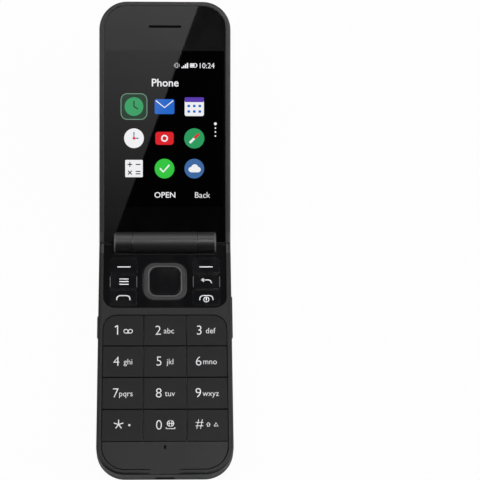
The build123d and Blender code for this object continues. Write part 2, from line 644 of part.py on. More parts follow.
def function_key(x, reach):
    """Flat key flush with the nav plate."""
    x = (x[0] + KEY_SEAM / 2, x[1] - KEY_SEAM / 2)
    y = span(reach[0] + KEY_SEAM, reach[1] - KEY_SEAM)
    top = NAV_PLATE_TOP + BOND
    cap = bevelled_tile(x, y, (KEY_CAP_UNDERSIDE, top), FUNCTION_KEY_CORNER)
    cap = chamfer(edges_at(cap, top), KEY_EDGE_BEVEL)
    return cap + stem((x[0] + x[1]) / 2, (y[0] + y[1]) / 2, KEY_CAP_UNDERSIDE)


def number_key(x, reach):
    """Number key, cut to the keypad's rounded corners in the first row."""
    gap = KEY_SEAM / 2
    x = (x[0] + gap, x[1] - gap)
    y = span(reach[0] + gap, reach[1] - gap)
    middle = ((x[0] + x[1]) / 2, (y[0] + y[1]) / 2)
    outline = Pos(*middle) * Rectangle(x[1] - x[0], y[1] - y[0])
    field_y = span(KEYPAD_START + gap, KEYPAD_END + 2 * KEYPAD_CORNER)
    field_size = (2 * (RECESS_HALF - gap), field_y[1] - field_y[0])
    outline &= Pos(0, (field_y[0] + field_y[1]) / 2) * RectangleRounded(*field_size, KEYPAD_CORNER - gap)
    cap = extrude(Pos(0, 0, KEY_CAP_UNDERSIDE) * outline, KEY_CAP_THICKNESS)
    cap = chamfer(edges_at(cap, KEY_TOP), KEY_EDGE_BEVEL)
    return cap + stem(*middle, KEY_CAP_UNDERSIDE)


def ring_outline(size, corner, z, grow=0.0):
    """Upright rounded bar on the centre of the navigation ring."""
    half = [value / 2 + grow for value in size]
    y = span(RING_REACH - half[1], RING_REACH + half[1])
    return tile((-half[0], half[0]), y, z, corner + grow)


def nav_ring():
    """Square ring with a broad outer bevel and a fine inner one."""
    body = ring_outline(RING_SIZE, RING_CORNER, (RING_UNDERSIDE, RING_TOP))
    body = chamfer(edges_at(body, RING_TOP), RING_BEVEL / 2, RING_BEVEL)
    opening_z = (RING_UNDERSIDE - CUT, RING_TOP + CUT)
    body -= ring_outline(SELECT_SIZE, SELECT_CORNER, opening_z, NAV_GAP)
    inner_half = SELECT_SIZE[0] / 2 + NAV_GAP + SLACK

    def is_inner(edge):
        middle = edge @ 0.5
        return abs(middle.X) < inner_half and abs(middle.Y - HINGE_Y + RING_REACH) < inner_half

    return chamfer([edge for edge in edges_at(body, RING_TOP) if is_inner(edge)], RING_BEVEL / 2)


def select_key():
    bottom = NAV_PLATE_TOP - SELECT_THICKNESS
    body = ring_outline(SELECT_SIZE, SELECT_CORNER, (bottom, NAV_PLATE_TOP))
    body = chamfer(edges_at(body, NAV_PLATE_TOP), KEY_EDGE_BEVEL)
    return body + stem(0, HINGE_Y - RING_REACH, bottom)


def nav_pad():
    """Silicone pad under the ring, open in the middle for the select key's stem."""
    half_x = RING_SIZE[0] / 2 - NAV_PAD_MARGIN[0]
    half_y = RING_SIZE[1] / 2 - NAV_PAD_MARGIN[1]
    top = RING_UNDERSIDE - NAV_PAD_GAP
    z = (top - NAV_PAD_THICKNESS, top)
    y = span(RING_REACH - half_y, RING_REACH + half_y)
    body = bevelled_tile((-half_x, half_x), y, z, NAV_PAD_CORNER)
    return body - post(0, HINGE_Y - RING_REACH, KEY_STEM_HALF + STEM_CLEARANCE, (0, BASE_THICKNESS))


def side_key(side, reach):
    """Side key: a bevelled cap through the wall and a flange behind it."""
    outer = HALF_WIDTH + SIDE_KEY_PROUD
    cap = side_key_block(side, reach, outer, FLANGE_INNER, 0.0)
    outer_face = cap.faces().sort_by(Axis.X)[-1 if side > 0 else 0]
    cap = chamfer(outer_face.edges(), KEY_EDGE_BEVEL)
    return cap + side_key_block(side, reach, FLANGE_OUTER, FLANGE_INNER, SIDE_KEY_FLANGE_LIP)


# ---------------------------------------------------------------- base interior
def board_outline(z, end):
    """Slice that fits the inside of the front cover, from the trough to a reach."""
    return base_form(FRONT_COVER_WALL + BOARD_EDGE_GAP) & everywhere(z, span(BOARD_START, end))


def cut_for_side_keys(body):
    """Room behind the flanges of the side keys."""
    for side, reach in ((1, ROCKER_SPAN), (-1, EMERGENCY_SPAN)):
        body -= side_key_block(side, reach, HALF_WIDTH, FLANGE_ROOM, SIDE_KEY_FLANGE_LIP + SIDE_KEY_ROOM)
    return body


def cut_for_bosses(body):
    """Square openings round the screw bosses."""
    for x, y in boss_places():
        body -= post(x, y, BOSS_HALF + 2 * FIT, (0, BASE_THICKNESS))
    return body


def main_board():
    body = cut_for_side_keys(board_outline((BOARD_UNDERSIDE, BOARD_TOP), HALF_LENGTH))
    return cut_for_bosses(body) - jack_bay()


def dome_sheet():
    """Switch sheet on the board, with one metal dome under every stem."""
    body = cut_for_side_keys(board_outline((BOARD_TOP, DOME_SHEET_TOP), KEYPAD_END - KEY_TRAVEL))
    body = cut_for_bosses(body) - jack_bay()
    for x, y in stem_places():
        body += prism(x, y, (DOME_SHEET_TOP, DOME_TOP), DOME_RADIUS, DOME_SIDES)
    return body


def keypad_mat():
    """Silicone web under the deck, open round every stem and the navigation ring."""
    body = board_outline((MAT_UNDERSIDE, MAT_TOP), KEYPAD_END + MAT_OVERHANG)
    for x, y in stem_places():
        body -= post(x, y, KEY_STEM_HALF + STEM_CLEARANCE, (0, BASE_THICKNESS))
    body = cut_for_bosses(body)
    body -= ring_outline(RING_SIZE, RING_CORNER, (0, BASE_THICKNESS), STEM_CLEARANCE)
    return cut_for_side_keys(body)


def jack_bay():
    """Room round the headset socket, through the board and the chassis."""
    x = (-HALF_WIDTH, -HALF_WIDTH + JACK_LENGTH + JACK_END + 2 * JACK_ROOM)
    half = JACK_RADIUS + JACK_ROOM
    return block(x, span(JACK_REACH - half, JACK_REACH + half), (0, BASE_THICKNESS))


def sim_card_block(margin, z):
    """Place of the card holder beside the camera."""
    x = HALF_WIDTH - SIM_SIDE
    half_x = SIM_SIZE[0] / 2 + margin
    half_y = SIM_SIZE[1] / 2 + margin
    return block((x - half_x, x + half_x), span(CAMERA_REACH - half_y, CAMERA_REACH + half_y), z)


def contact_places():
    """X of the three battery contacts, and the height at which they pass the bay wall."""
    return (-CONTACT_PITCH, 0.0, CONTACT_PITCH), (BATTERY_UNDERSIDE + CHASSIS_UNDERSIDE) / 2


def rear_chassis():
    """Moulded middle frame: a floor under the board and a walled bay for the battery."""
    floor = everywhere((CHASSIS_UNDERSIDE, CHASSIS_TOP), span(BOARD_START, HALF_LENGTH))
    body = base_form(FRONT_COVER_WALL + CHASSIS_WALL) & floor
    bay_half = BATTERY_HALF + FIT
    bay_y = span(BATTERY_START - FIT, BATTERY_END + FIT)
    wall_x = (-bay_half - CHASSIS_WALL, bay_half + CHASSIS_WALL)
    wall_y = (bay_y[0] - CHASSIS_WALL, bay_y[1] + CHASSIS_WALL)
    body += block(wall_x, wall_y, (BATTERY_UNDERSIDE, CHASSIS_TOP))
    body -= block((-bay_half, bay_half), bay_y, (0, CHASSIS_UNDERSIDE))
    contact_x, contact_z = contact_places()
    for x in contact_x:
        slot_x = (x - CONTACT_WIDTH / 2 - 2 * FIT, x + CONTACT_WIDTH / 2 + 2 * FIT)
        slot_z = (contact_z - CONTACT_THICKNESS - FIT, contact_z + CONTACT_THICKNESS + FIT)
        body -= block(slot_x, (bay_y[1] - CUT, wall_y[1] + CUT), slot_z)

    # Screw holes, and openings for the parts that reach through the floor
    for x, y in boss_places():
        body -= prism(x, y, (0, CHASSIS_TOP), SCREW_RADIUS + FIT, SCREW_SIDES)
    body -= post(0, HINGE_Y - CAMERA_REACH, CAMERA_SIZE / 2 + 2 * FIT, (0, BASE_THICKNESS))
    body -= sim_card_block(2 * FIT, (0, BASE_THICKNESS))
    body -= jack_bay()
    body -= usb_opening(USB_DEPTH + JACK_ROOM, FIT)
    return cut_for_side_keys(body)


def battery():
    z = (BATTERY_UNDERSIDE, CHASSIS_UNDERSIDE - FIT)
    body = block((-BATTERY_HALF, BATTERY_HALF), span(BATTERY_START, BATTERY_END), z)
    return fillet(body.edges().filter_by(Axis.Y), BATTERY_EDGE_RADIUS)


def battery_contacts():
    """Three bent spring blades that reach through the bay wall to the battery's end."""
    contact_x, contact_z = contact_places()
    tip = HINGE_Y - BATTERY_START
    heel = tip + FIT + CHASSIS_WALL + 4 * FIT
    foot_z = (CHASSIS_UNDERSIDE - CONTACT_THICKNESS, CHASSIS_UNDERSIDE)
    blades = []
    for x in contact_x:
        blade_x = (x - CONTACT_WIDTH / 2, x + CONTACT_WIDTH / 2)
        tongue_z = (contact_z - CONTACT_THICKNESS / 2, contact_z + CONTACT_THICKNESS / 2)
        tongue = block(blade_x, (tip, heel), tongue_z)
        upright = block(blade_x, (heel - CONTACT_THICKNESS, heel), (contact_z, CHASSIS_UNDERSIDE))
        blades.append(tongue + upright + block(blade_x, (heel, heel + CONTACT_WIDTH), foot_z))
    return Compound(children=blades)


def usb_socket():
    """Metal sleeve with a contact tongue, just inside the tip."""
    mouth_y = HINGE_Y - HALF_LENGTH + USB_SINK
    back_y = HINGE_Y - HALF_LENGTH + USB_DEPTH - FIT
    body = usb_opening(USB_DEPTH, 0.0) & everywhere((0, BASE_THICKNESS), (mouth_y, back_y))
    half = USB_SIZE[0] / 2
    bore_z = (USB_HEIGHT - USB_SIZE[1] / 2, USB_HEIGHT + USB_SIZE[1] / 2)
    body -= block((-half, half), (mouth_y - CUT, back_y - CUT), bore_z)
    tongue_x = (-half + USB_TONGUE_SIDE, half - USB_TONGUE_SIDE)
    tongue_z = (USB_HEIGHT + FIT, USB_HEIGHT + FIT + USB_TONGUE_THICKNESS)
    return body + block(tongue_x, (mouth_y + CUT, back_y), tongue_z)


def headset_socket():
    """Round socket, open to the left side and closed at its inner end."""
    y = HINGE_Y - JACK_REACH
    mouth = -HALF_WIDTH + JACK_SINK
    x = (mouth, mouth + JACK_LENGTH)
    body = rod((x[0], x[1] + JACK_END), y, JACK_HEIGHT, JACK_RADIUS)
    return body - rod(x, y, JACK_HEIGHT, JACK_BORE)


def sim_card_holder():
    """Thin metal-lidded tray under the board, open towards the side."""
    z = (BOARD_UNDERSIDE - SIM_SIZE[2], BOARD_UNDERSIDE)
    body = sim_card_block(0.0, z)
    slot_z = (z[0] + 2 * SIM_SHEET, z[1] - SIM_SHEET)
    return body - Pos(2 * SIM_FRAME, 0, 0) * sim_card_block(-SIM_FRAME, slot_z)


def loudspeaker():
    x = LOUDSPEAKER_SIDE - HALF_WIDTH
    half_x, half_y = LOUDSPEAKER_SIZE[0] / 2, LOUDSPEAKER_SIZE[1] / 2
    z = (BATTERY_UNDERSIDE, BATTERY_UNDERSIDE + LOUDSPEAKER_SIZE[2])
    y = span(CAMERA_REACH - half_y, CAMERA_REACH + half_y)
    body = bevelled_tile((x - half_x, x + half_x), y, z, LOUDSPEAKER_BEVEL)
    dish_x = (x - half_x + LOUDSPEAKER_FRAME, x + half_x - LOUDSPEAKER_FRAME)
    dish_y = (y[0] + LOUDSPEAKER_FRAME, y[1] - LOUDSPEAKER_FRAME)
    return body - block(dish_x, dish_y, (0, z[0] + LOUDSPEAKER_DISH))


def vibration_motor():
    z = (CHASSIS_UNDERSIDE - MOTOR_HEIGHT, CHASSIS_UNDERSIDE)
    return disc(HALF_WIDTH - MOTOR_SIDE, HINGE_Y - MOTOR_REACH, z, MOTOR_RADIUS)


def microphone():
    half_x, half_y = MICROPHONE_SIZE[0] / 2, MICROPHONE_SIZE[1] / 2
    y = span(MIC_REACH - half_y, MIC_REACH + half_y)
    body = block((-half_x, half_x), y, (BOARD_TOP, DECK_UNDERSIDE - BOND))
    port = post(0, HINGE_Y - MIC_REACH, MIC_HOLE[0] / 2, (DECK_UNDERSIDE - MICROPHONE_PORT, DECK_UNDERSIDE))
    return body - port


def camera_module():
    y = HINGE_Y - CAMERA_REACH
    body_low = 2 * BATTERY_COVER_WALL
    body = chamfered_post(0, y, CAMERA_SIZE / 2, (body_low, BOARD_UNDERSIDE), CAMERA_BEVEL)
    return body + disc(0, y, (BATTERY_COVER_WALL + 2 * FIT, body_low), CAMERA_LENS_RADIUS)


def camera_window():
    z = (WINDOW_RECESS, BATTERY_COVER_WALL)
    return chamfered_post(0, HINGE_Y - CAMERA_REACH, CAMERA_WINDOW_HALF, z, CAMERA_BEVEL)


def flash_lens():
    z = (WINDOW_RECESS, BATTERY_COVER_WALL + 4 * FIT)
    return chamfered_post(FLASH_OFFSET, HINGE_Y - CAMERA_REACH, FLASH_HALF, z, FLASH_BEVEL)


def antenna():
    """Bent plastic carrier of the antenna, round the tip corner beside the charging socket."""
    outer = HALF_WIDTH - ANTENNA_INSET
    inner = outer - ANTENNA_THICKNESS
    z = (BATTERY_COVER_WALL + HOLLOW_BEVEL * (EDGE_RADIUS - BATTERY_COVER_WALL), CHASSIS_UNDERSIDE)
    far = HALF_LENGTH - ANTENNA_INSET
    corner = TIP_CORNER_RADIUS - ANTENNA_INSET
    body = tile((-outer, outer), span(0, far), z, corner)
    body -= tile((-inner, inner), span(0, far - ANTENNA_THICKNESS), z, corner - ANTENNA_THICKNESS)
    start = MOTOR_REACH + MOTOR_RADIUS + CUT
    return body & block((USB_SIZE[0] / 2 + ANTENNA_TO_SOCKET, BODY_WIDTH), span(start, HALF_LENGTH), z)


def chassis_screws():
    screws = []
    for x, y in boss_places():
        head_z = (CHASSIS_UNDERSIDE - SCREW_HEAD_HEIGHT, CHASSIS_UNDERSIDE)
        head = prism(x, y, head_z, SCREW_HEAD_RADIUS, SCREW_SIDES)
        shank = prism(x, y, (CHASSIS_UNDERSIDE, DECK_UNDERSIDE - 2 * BOSS_ROOT), SCREW_RADIUS, SCREW_SIDES)
        screws.append(head + shank)
    return Compound(children=screws)


# ---------------------------------------------------------------- hinge
def hinge_cam_shaft():
    """Friction shaft on the right, fixed in the base knuckle and turning in the lid's module."""
    body = barrel((OUTER_KNUCKLE_START, KNUCKLE_END - BOND), HINGE_BORE - HINGE_RUNNING_GAP)
    return body + barrel((CENTRE_KNUCKLE_HALF - CAM_LENGTH, OUTER_KNUCKLE_START), CAM_SHAFT_RADIUS)


def hinge_sleeve():
    """Hollow pin on the left that carries the display flex through the joint."""
    x = (-KNUCKLE_END + BOND, -CENTRE_KNUCKLE_HALF + SLEEVE_DEPTH_IN_LID)
    return barrel(x, HINGE_BORE - HINGE_RUNNING_GAP) - barrel(x, SLEEVE_BORE)


def hinge_caps():
    """Round end covers of the barrel."""
    caps = []
    for x in both_sides((KNUCKLE_END, BARREL_HALF_WIDTH)):
        cap = barrel(x, BARREL_RADIUS)
        outer = [edge for edge in cap.edges() if abs(abs((edge @ 0.5).X) - BARREL_HALF_WIDTH) < TOUCH]
        caps.append(chamfer(outer, HINGE_CAP_EDGE))
    return Compound(children=caps)


def hinge_module_case():
    """Case of the friction hinge, pressed into the lid's knuckle."""
    x = (CENTRE_KNUCKLE_HALF - HINGE_MODULE_LENGTH, CENTRE_KNUCKLE_HALF)
    shaft_room = (x[1] - CAM_LENGTH - FIT, x[1])
    return rod(x, 0, 0, HINGE_BORE) - rod(shaft_room, 0, 0, CAM_SHAFT_RADIUS + HINGE_RUNNING_GAP)


# ---------------------------------------------------------------- lid
def trough_ranges():
    """X ranges of the base's two knuckles, with room at both ends."""
    return both_sides((OUTER_KNUCKLE_START - KNUCKLE_GAP, BARREL_NOTCH))


def with_troughs(body, z):
    """Lid shell with walled troughs round the base's two knuckles."""
    for x in trough_ranges():
        shell = rod((x[0] - TROUGH_WALL, x[1] + TROUGH_WALL), 0, 0, TROUGH_SHELL)
        body += shell & lid_form() & everywhere(z)
    for x in trough_ranges():
        body -= rod(x, 0, 0, TROUGH_RADIUS)
    return body


def lid_frame():
    body = lid_form(0, RIM_BEVEL) & everywhere((LID_SEAM, CUT))
    body -= lid_form(LID_FRAME_WALL) & everywhere((LID_BACK, TRAY_UNDERSIDE))
    body = with_troughs(body, (LID_SEAM, LID_RIM))
    pocket_x = (-WINDOW_HALF - FIT, WINDOW_HALF + FIT)
    body -= tile(pocket_x, (-BEYOND, WINDOW_END + FIT), (WINDOW_SEAT, CUT), WINDOW_CORNER)

    # Centre knuckle, its bores, and the slot that lets the flex out of the hollow pin
    half = CENTRE_KNUCKLE_HALF
    body += rod((-half, half), 0, 0, BARREL_RADIUS)
    body -= rod((half - HINGE_MODULE_LENGTH - FIT, half + CUT), 0, 0, HINGE_BORE)
    body -= rod((-half - CUT, FLEX_X[1] + 4 * FIT), 0, 0, HINGE_BORE)
    body -= flex_slot(FIT) & block((-half, 0), (0, BARREL_RADIUS + CUT), (LID_BACK, 0))

    # Display aperture, earpiece hole and screw holes
    body -= display_block(FIT, (LID_BACK, CUT))
    slot_half = EARPIECE_SLOT[0] / 2
    slot_y = (EARPIECE_REACH - EARPIECE_HOLE / 2, EARPIECE_REACH + EARPIECE_HOLE / 2)
    body -= block((-slot_half, slot_half), slot_y, (LID_BACK, WINDOW_SEAT + FIT))
    for x, y in lid_screw_places():
        body += post(x, y, LID_BOSS_HALF, (LID_SEAM, WINDOW_SEAT))
        body -= prism(x, y, (LID_SEAM - CUT, WINDOW_SEAT), SCREW_RADIUS + FIT, SCREW_SIDES)
        head_z = (WINDOW_SEAT - SCREW_HEAD_HEIGHT - FIT, WINDOW_SEAT)
        body -= prism(x, y, head_z, SCREW_HEAD_RADIUS + FIT, SCREW_SIDES)
    return body


def display_block(margin, z):
    """Place of the main display module, grown by margin."""
    half = DISPLAY_HALF + margin
    return block((-half, half), (DISPLAY_START - margin, DISPLAY_END + margin), z)


def outer_window_region(margin):
    """Upright bar over the outer window's outline, grown by margin."""
    half = OUTER_WINDOW_HALF + margin
    z = (LID_BACK - CUT, LID_SEAM)
    bar = tile((-half, half), (-BEYOND, OUTER_WINDOW_END + margin), z, OUTER_WINDOW_CORNER + margin)
    return bar & everywhere(z, (OUTER_WINDOW_START - margin, HALF_LENGTH))


def outer_display_block(margin, z):
    """Place of the outer display, grown by margin."""
    half_x, half_y = OUTER_DISPLAY_SIZE[0] / 2 + margin, OUTER_DISPLAY_SIZE[1] / 2 + margin
    return block((-half_x, half_x), (OUTER_DISPLAY_REACH - half_y, OUTER_DISPLAY_REACH + half_y), z)


def lid_outer_cover():
    cover_top = LID_SEAM - SEAM_GAP
    body = lid_form() & everywhere((LID_BACK - CUT, cover_top))
    body -= lid_form(LID_COVER_WALL) & everywhere((LID_BACK, LID_SEAM))
    body = with_troughs(body, (LID_BACK, cover_top))
    body -= rod((-OUTER_KNUCKLE_START, OUTER_KNUCKLE_START), 0, 0, BARREL_RADIUS + BOND)

    # Pocket for the outer window and aperture for the outer display
    skin = lid_form() - lid_form(OUTER_WINDOW_THICKNESS + BOND)
    body -= skin & outer_window_region(FIT)
    body -= outer_display_block(FIT, (LID_BACK - CUT, LID_CAVITY_FLOOR + CUT))
    for x, y in lid_screw_places():
        body += post(x, y, BOSS_HALF, (LID_CAVITY_FLOOR - BOSS_ROOT, cover_top))
        hole_z = (LID_CAVITY_FLOOR + BOSS_ROOT, LID_SEAM)
        body -= prism(x, y, hole_z, SCREW_RADIUS + THREAD_GAP, SCREW_SIDES)
    return body


def outer_window():
    """Glossy panel that wraps over both sides of the lid."""
    skin = lid_form() - lid_form(OUTER_WINDOW_THICKNESS)
    body = skin & outer_window_region(0.0)
    return body - rod((-BARREL_NOTCH, BARREL_NOTCH), 0, 0, TROUGH_SHELL)


def main_window():
    """Inner lens of the lid, with ears beside the hinge barrel and a slot for the earpiece."""
    z = (WINDOW_SEAT, WINDOW_TOP)
    body = tile((-WINDOW_HALF, WINDOW_HALF), (-BEYOND, WINDOW_END), z, WINDOW_CORNER - FIT)
    body &= everywhere(z, (PLATE_START, HALF_LENGTH))
    body -= block((-BARREL_NOTCH, BARREL_NOTCH), (-BEYOND, PLATE_NOTCH_REACH), (LID_BACK, CUT))
    return body - earpiece_slot(0.0, (WINDOW_SEAT, WINDOW_TOP))


def main_display():
    return display_block(0.0, (DISPLAY_UNDERSIDE, DISPLAY_TOP))


def earpiece_slot(margin, z):
    """Rounded slot in the lens for the earpiece, shrunk by margin."""
    half_x, half_y = EARPIECE_SLOT[0] / 2 - margin, EARPIECE_SLOT[1] / 2 - margin
    y = (EARPIECE_REACH - half_y, EARPIECE_REACH + half_y)
    return tile((-half_x, half_x), y, z, half_y * SLOT_ROUNDING)


def earpiece():
    """Speaker capsule under the earpiece slot."""
    half = EARPIECE_SLOT[0] / 2 - FIT
    y = (EARPIECE_REACH - EARPIECE_WIDTH / 2, EARPIECE_REACH + EARPIECE_WIDTH / 2)
    top = TRAY_UNDERSIDE - BOND
    body = bevelled_tile((-half, half), y, (top - EARPIECE_THICKNESS, top), EARPIECE_BEVEL)
    dish_x = (-half + EARPIECE_FRAME, half - EARPIECE_FRAME)
    dish_y = (y[0] + EARPIECE_FRAME, y[1] - EARPIECE_FRAME)
    return body - block(dish_x, dish_y, (top - EARPIECE_DISH, top))


def earpiece_mesh():
    """Fine grille in the earpiece slot."""
    return earpiece_slot(BOND, (WINDOW_SEAT, WINDOW_SEAT + MESH_THICKNESS))


def outer_display():
    return outer_display_block(0.0, (OUTER_DISPLAY_BACK, OUTER_DISPLAY_BACK + OUTER_DISPLAY_SIZE[2]))


def lid_board():
    """Flexible-rigid board behind the main display."""
    half = DISPLAY_HALF - LID_BOARD_MARGIN
    y = (DISPLAY_START + LID_BOARD_MARGIN / 2, DISPLAY_END - LID_BOARD_MARGIN / 2)
    return block((-half, half), y, (LID_BOARD_UNDERSIDE, LID_BOARD_TOP))


def flex_slot(margin):
    """Path of the flex out of the knuckle and under the tray, grown by margin."""
    x = (FLEX_X[0] - margin, FLEX_X[1] + margin)
    z = (FLEX_HEIGHT - margin, FLEX_HEIGHT + FLEX_THICKNESS + margin)
    return block(x, (FLEX_NEAR, DISPLAY_START - FLEX_ROOM), z)


def display_flex():
    """Ribbon from the lid board to a roll inside the hollow hinge pin."""
    roll_x = (-KNUCKLE_END + CUT, FLEX_X[1])
    roll = rod(roll_x, 0, 0, SLEEVE_BORE - 2 * FIT) - rod(roll_x, 0, 0, SLEEVE_BORE - 4 * FIT)
    drop = block(FLEX_X, (FLEX_NEAR, FLEX_NEAR + 2 * FIT), (FLEX_HEIGHT, 3 * FIT - SLEEVE_BORE))
    end_y = DISPLAY_START - FLEX_ROOM
    tail_low = LID_BOARD_UNDERSIDE + 2 * FIT
    step_y = (end_y - FLEX_THICKNESS, end_y)
    step = block(FLEX_X, step_y, (tail_low, FLEX_HEIGHT + FLEX_THICKNESS))
    tail_y = (step_y[0], DISPLAY_START + LID_BOARD_MARGIN / 2)
    tail = block(FLEX_X, tail_y, (tail_low, tail_low + FLEX_THICKNESS))
    return roll + drop + flex_slot(0.0) + step + tail


def magnet():
    """Magnet that tells the base the lid is shut."""
    half = MAGNET_SIZE[1] / 2
    y = HALF_LENGTH - MAGNET_TIP_DISTANCE
    top = TRAY_UNDERSIDE - BOND
    return block(MAGNET_X, (y - half, y + half), (top - MAGNET_SIZE[2], top))


def lid_screws():
    screws = []
    top = WINDOW_SEAT - BOND
    seat = top - SCREW_HEAD_HEIGHT
    for x, y in lid_screw_places():
        head = prism(x, y, (seat, top), SCREW_HEAD_RADIUS, SCREW_SIDES)
        shank = prism(x, y, (LID_CAVITY_FLOOR + 2 * BOSS_ROOT, seat), SCREW_RADIUS, SCREW_SIDES)
        screws.append(head + shank)
    return Compound(children=screws)


# ---------------------------------------------------------------- write every piece
base_pieces = {
    "base_front_cover": base_front_cover(),
    "battery_cover": battery_cover(),
    "nav_plate": nav_plate(),
    "nav_ring": nav_ring(),
    "nav_pad": nav_pad(),
    "select_key": select_key(),
    "volume_rocker": side_key(1, ROCKER_SPAN),
    "emergency_key": side_key(-1, EMERGENCY_SPAN),
    "main_board": main_board(),
    "dome_sheet": dome_sheet(),
    "keypad_mat": keypad_mat(),
    "rear_chassis": rear_chassis(),
    "battery": battery(),
    "battery_contacts": battery_contacts(),
    "usb_socket": usb_socket(),
    "headset_socket": headset_socket(),
    "sim_card_holder": sim_card_holder(),
    "loudspeaker": loudspeaker(),
    "vibration_motor": vibration_motor(),
    "microphone": microphone(),
    "camera_module": camera_module(),
    "camera_window": camera_window(),
    "flash_lens": flash_lens(),
    "antenna": antenna(),
    "chassis_screws": chassis_screws(),
    "hinge_cam_shaft": hinge_cam_shaft(),
    "hinge_sleeve": hinge_sleeve(),
    "hinge_caps": hinge_caps(),
}
for key_name, key_x, key_reach in function_keys():
    base_pieces[key_name] = function_key(key_x, key_reach)
for key_name, key_x, key_reach in number_keys():
    base_pieces[key_name] = number_key(key_x, key_reach)

lid_pieces = {
    "lid_frame": lid_frame(),
    "lid_outer_cover": lid_outer_cover(),
    "main_window": main_window(),
    "main_display": main_display(),
    "earpiece": earpiece(),
    "earpiece_mesh": earpiece_mesh(),
    "outer_window": outer_window(),
    "outer_display": outer_display(),
    "lid_board": lid_board(),
    "display_flex": display_flex(),
    "magnet": magnet(),
    "lid_screws": lid_screws(),
    "hinge_module_case": hinge_module_case(),
}

os.makedirs("parts", exist_ok=True)
for name, piece in base_pieces.items():
    export_step(piece, "parts/" + name + ".step")
for name, piece in lid_pieces.items():
    export_step(place_lid(piece), "parts/" + name + ".step")
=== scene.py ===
import json
import math

import bpy
from mathutils import Matrix, Vector

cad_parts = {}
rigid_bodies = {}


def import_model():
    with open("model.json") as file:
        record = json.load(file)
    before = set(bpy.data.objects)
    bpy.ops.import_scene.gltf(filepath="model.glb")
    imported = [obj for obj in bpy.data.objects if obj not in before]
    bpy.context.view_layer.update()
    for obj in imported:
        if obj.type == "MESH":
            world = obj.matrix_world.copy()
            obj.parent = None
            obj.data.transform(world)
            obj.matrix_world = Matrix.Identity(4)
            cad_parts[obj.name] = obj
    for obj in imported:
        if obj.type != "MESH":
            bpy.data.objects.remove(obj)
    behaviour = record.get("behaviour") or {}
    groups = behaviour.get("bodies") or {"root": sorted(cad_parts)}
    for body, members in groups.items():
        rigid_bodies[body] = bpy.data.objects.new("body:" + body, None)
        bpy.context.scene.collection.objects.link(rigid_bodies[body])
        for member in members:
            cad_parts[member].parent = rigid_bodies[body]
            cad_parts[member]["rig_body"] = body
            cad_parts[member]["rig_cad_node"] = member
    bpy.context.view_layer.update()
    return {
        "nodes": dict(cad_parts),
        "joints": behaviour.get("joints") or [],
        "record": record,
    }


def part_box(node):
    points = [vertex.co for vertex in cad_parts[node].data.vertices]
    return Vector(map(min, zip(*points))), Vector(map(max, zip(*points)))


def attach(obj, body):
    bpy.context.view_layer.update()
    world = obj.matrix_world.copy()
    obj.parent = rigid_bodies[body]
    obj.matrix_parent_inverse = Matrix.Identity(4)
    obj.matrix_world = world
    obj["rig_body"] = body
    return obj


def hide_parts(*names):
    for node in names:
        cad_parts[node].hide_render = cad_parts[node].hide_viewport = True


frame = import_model()

# Flip phone: dressing, legends, screens, lights and camera. Lengths in metres.
MM = 0.001
NODES = frame["nodes"]
HINGE = next(joint for joint in frame["joints"] if joint["name"] == "lid_hinge")
HINGE_Y, HINGE_Z = HINGE["pos_m"][1:]
LID_TILT = math.radians(180 - max(HINGE["range_deg"]))
BODY_OF = {
    node: body
    for body, nodes in frame["record"]["behaviour"]["bodies"].items()
    for node in nodes
}
SLOT_OF = {part["node"]: part["material_slot"] for part in frame["record"]["subparts"]}

# Frames of the printed faces: x to the right, y up the page, z out of the face
INSIDE_LID = Matrix.Translation((0, HINGE_Y, HINGE_Z)) @ Matrix.Rotation(LID_TILT, 4, "X")
OUTSIDE_LID = INSIDE_LID @ Matrix.Rotation(math.pi, 4, "X")
BASE_FACE = Matrix.Translation((0, HINGE_Y, 0))

# Heights of the printed faces and of the rims above the origins of their frames
WINDOW_FACE = -0.45 * MM
OUTER_WINDOW_FACE = 7.85 * MM
KEY_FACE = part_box("key_5")[1].z
FUNCTION_KEY_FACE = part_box("menu_key")[1].z
RING_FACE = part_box("nav_ring")[1].z
CHIN_FACE = 10.4 * MM
BASE_RIM = 10.7 * MM
LID_RIM = -0.15 * MM

# Print starts a little below its face and ends a little above it
SUNK = 0.01 * MM
INK = 0.025 * MM
INKED = (KEY_FACE - SUNK, KEY_FACE + INK)
INKED_NAV = (FUNCTION_KEY_FACE - SUNK, FUNCTION_KEY_FACE + INK)

# Outline of each half, the bevel round its rim, and the hinge barrel
HALF_WIDTH, HALF_LENGTH, TIP_CORNER = 27.3 * MM, 100.5 * MM, 11.6 * MM
RIM_BEVEL = 0.5 * MM
BARREL_RADIUS = 4.3 * MM

# Cleaning and smoothing of the CAD meshes
WELD = 0.001 * MM
FLAT_ANGLE = math.radians(0.5)
SOFTENED_ANGLE = math.radians(30)
SMOOTH_ANGLE = math.radians(32)

# Camera: square to the open lid, and turned so that the phone stands left of the middle
CAMERA_DISTANCE = 804 * MM
CAMERA_REACH = 1.25 * MM
CAMERA_YAW = math.radians(2.2255)
CAMERA_LENS = 144.75
CAMERA_CLIP = 0.01


# ---------------------------------------------------------------- modelling helpers
def only(piece):
    """Select one piece alone and make it active."""
    bpy.ops.object.select_all(action="DESELECT")
    piece.select_set(True)
    bpy.context.view_layer.objects.active = piece


def to_mesh(piece):
    """Turn a curve or a line of lettering into a mesh."""
    only(piece)
    bpy.ops.object.convert(target="MESH")
    return bpy.context.object


def place(piece, name, body, finish, face=Matrix()):
    """Put a piece's place into its mesh, and give it a name, a body and a finish."""
    only(piece)
    piece.matrix_world = face @ piece.matrix_world
    bpy.ops.object.transform_apply(location=True, rotation=True, scale=True)
    piece.name = name
    piece.data.name = name
    piece.data.materials.clear()
    piece.data.materials.append(finish)
    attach(piece, body)


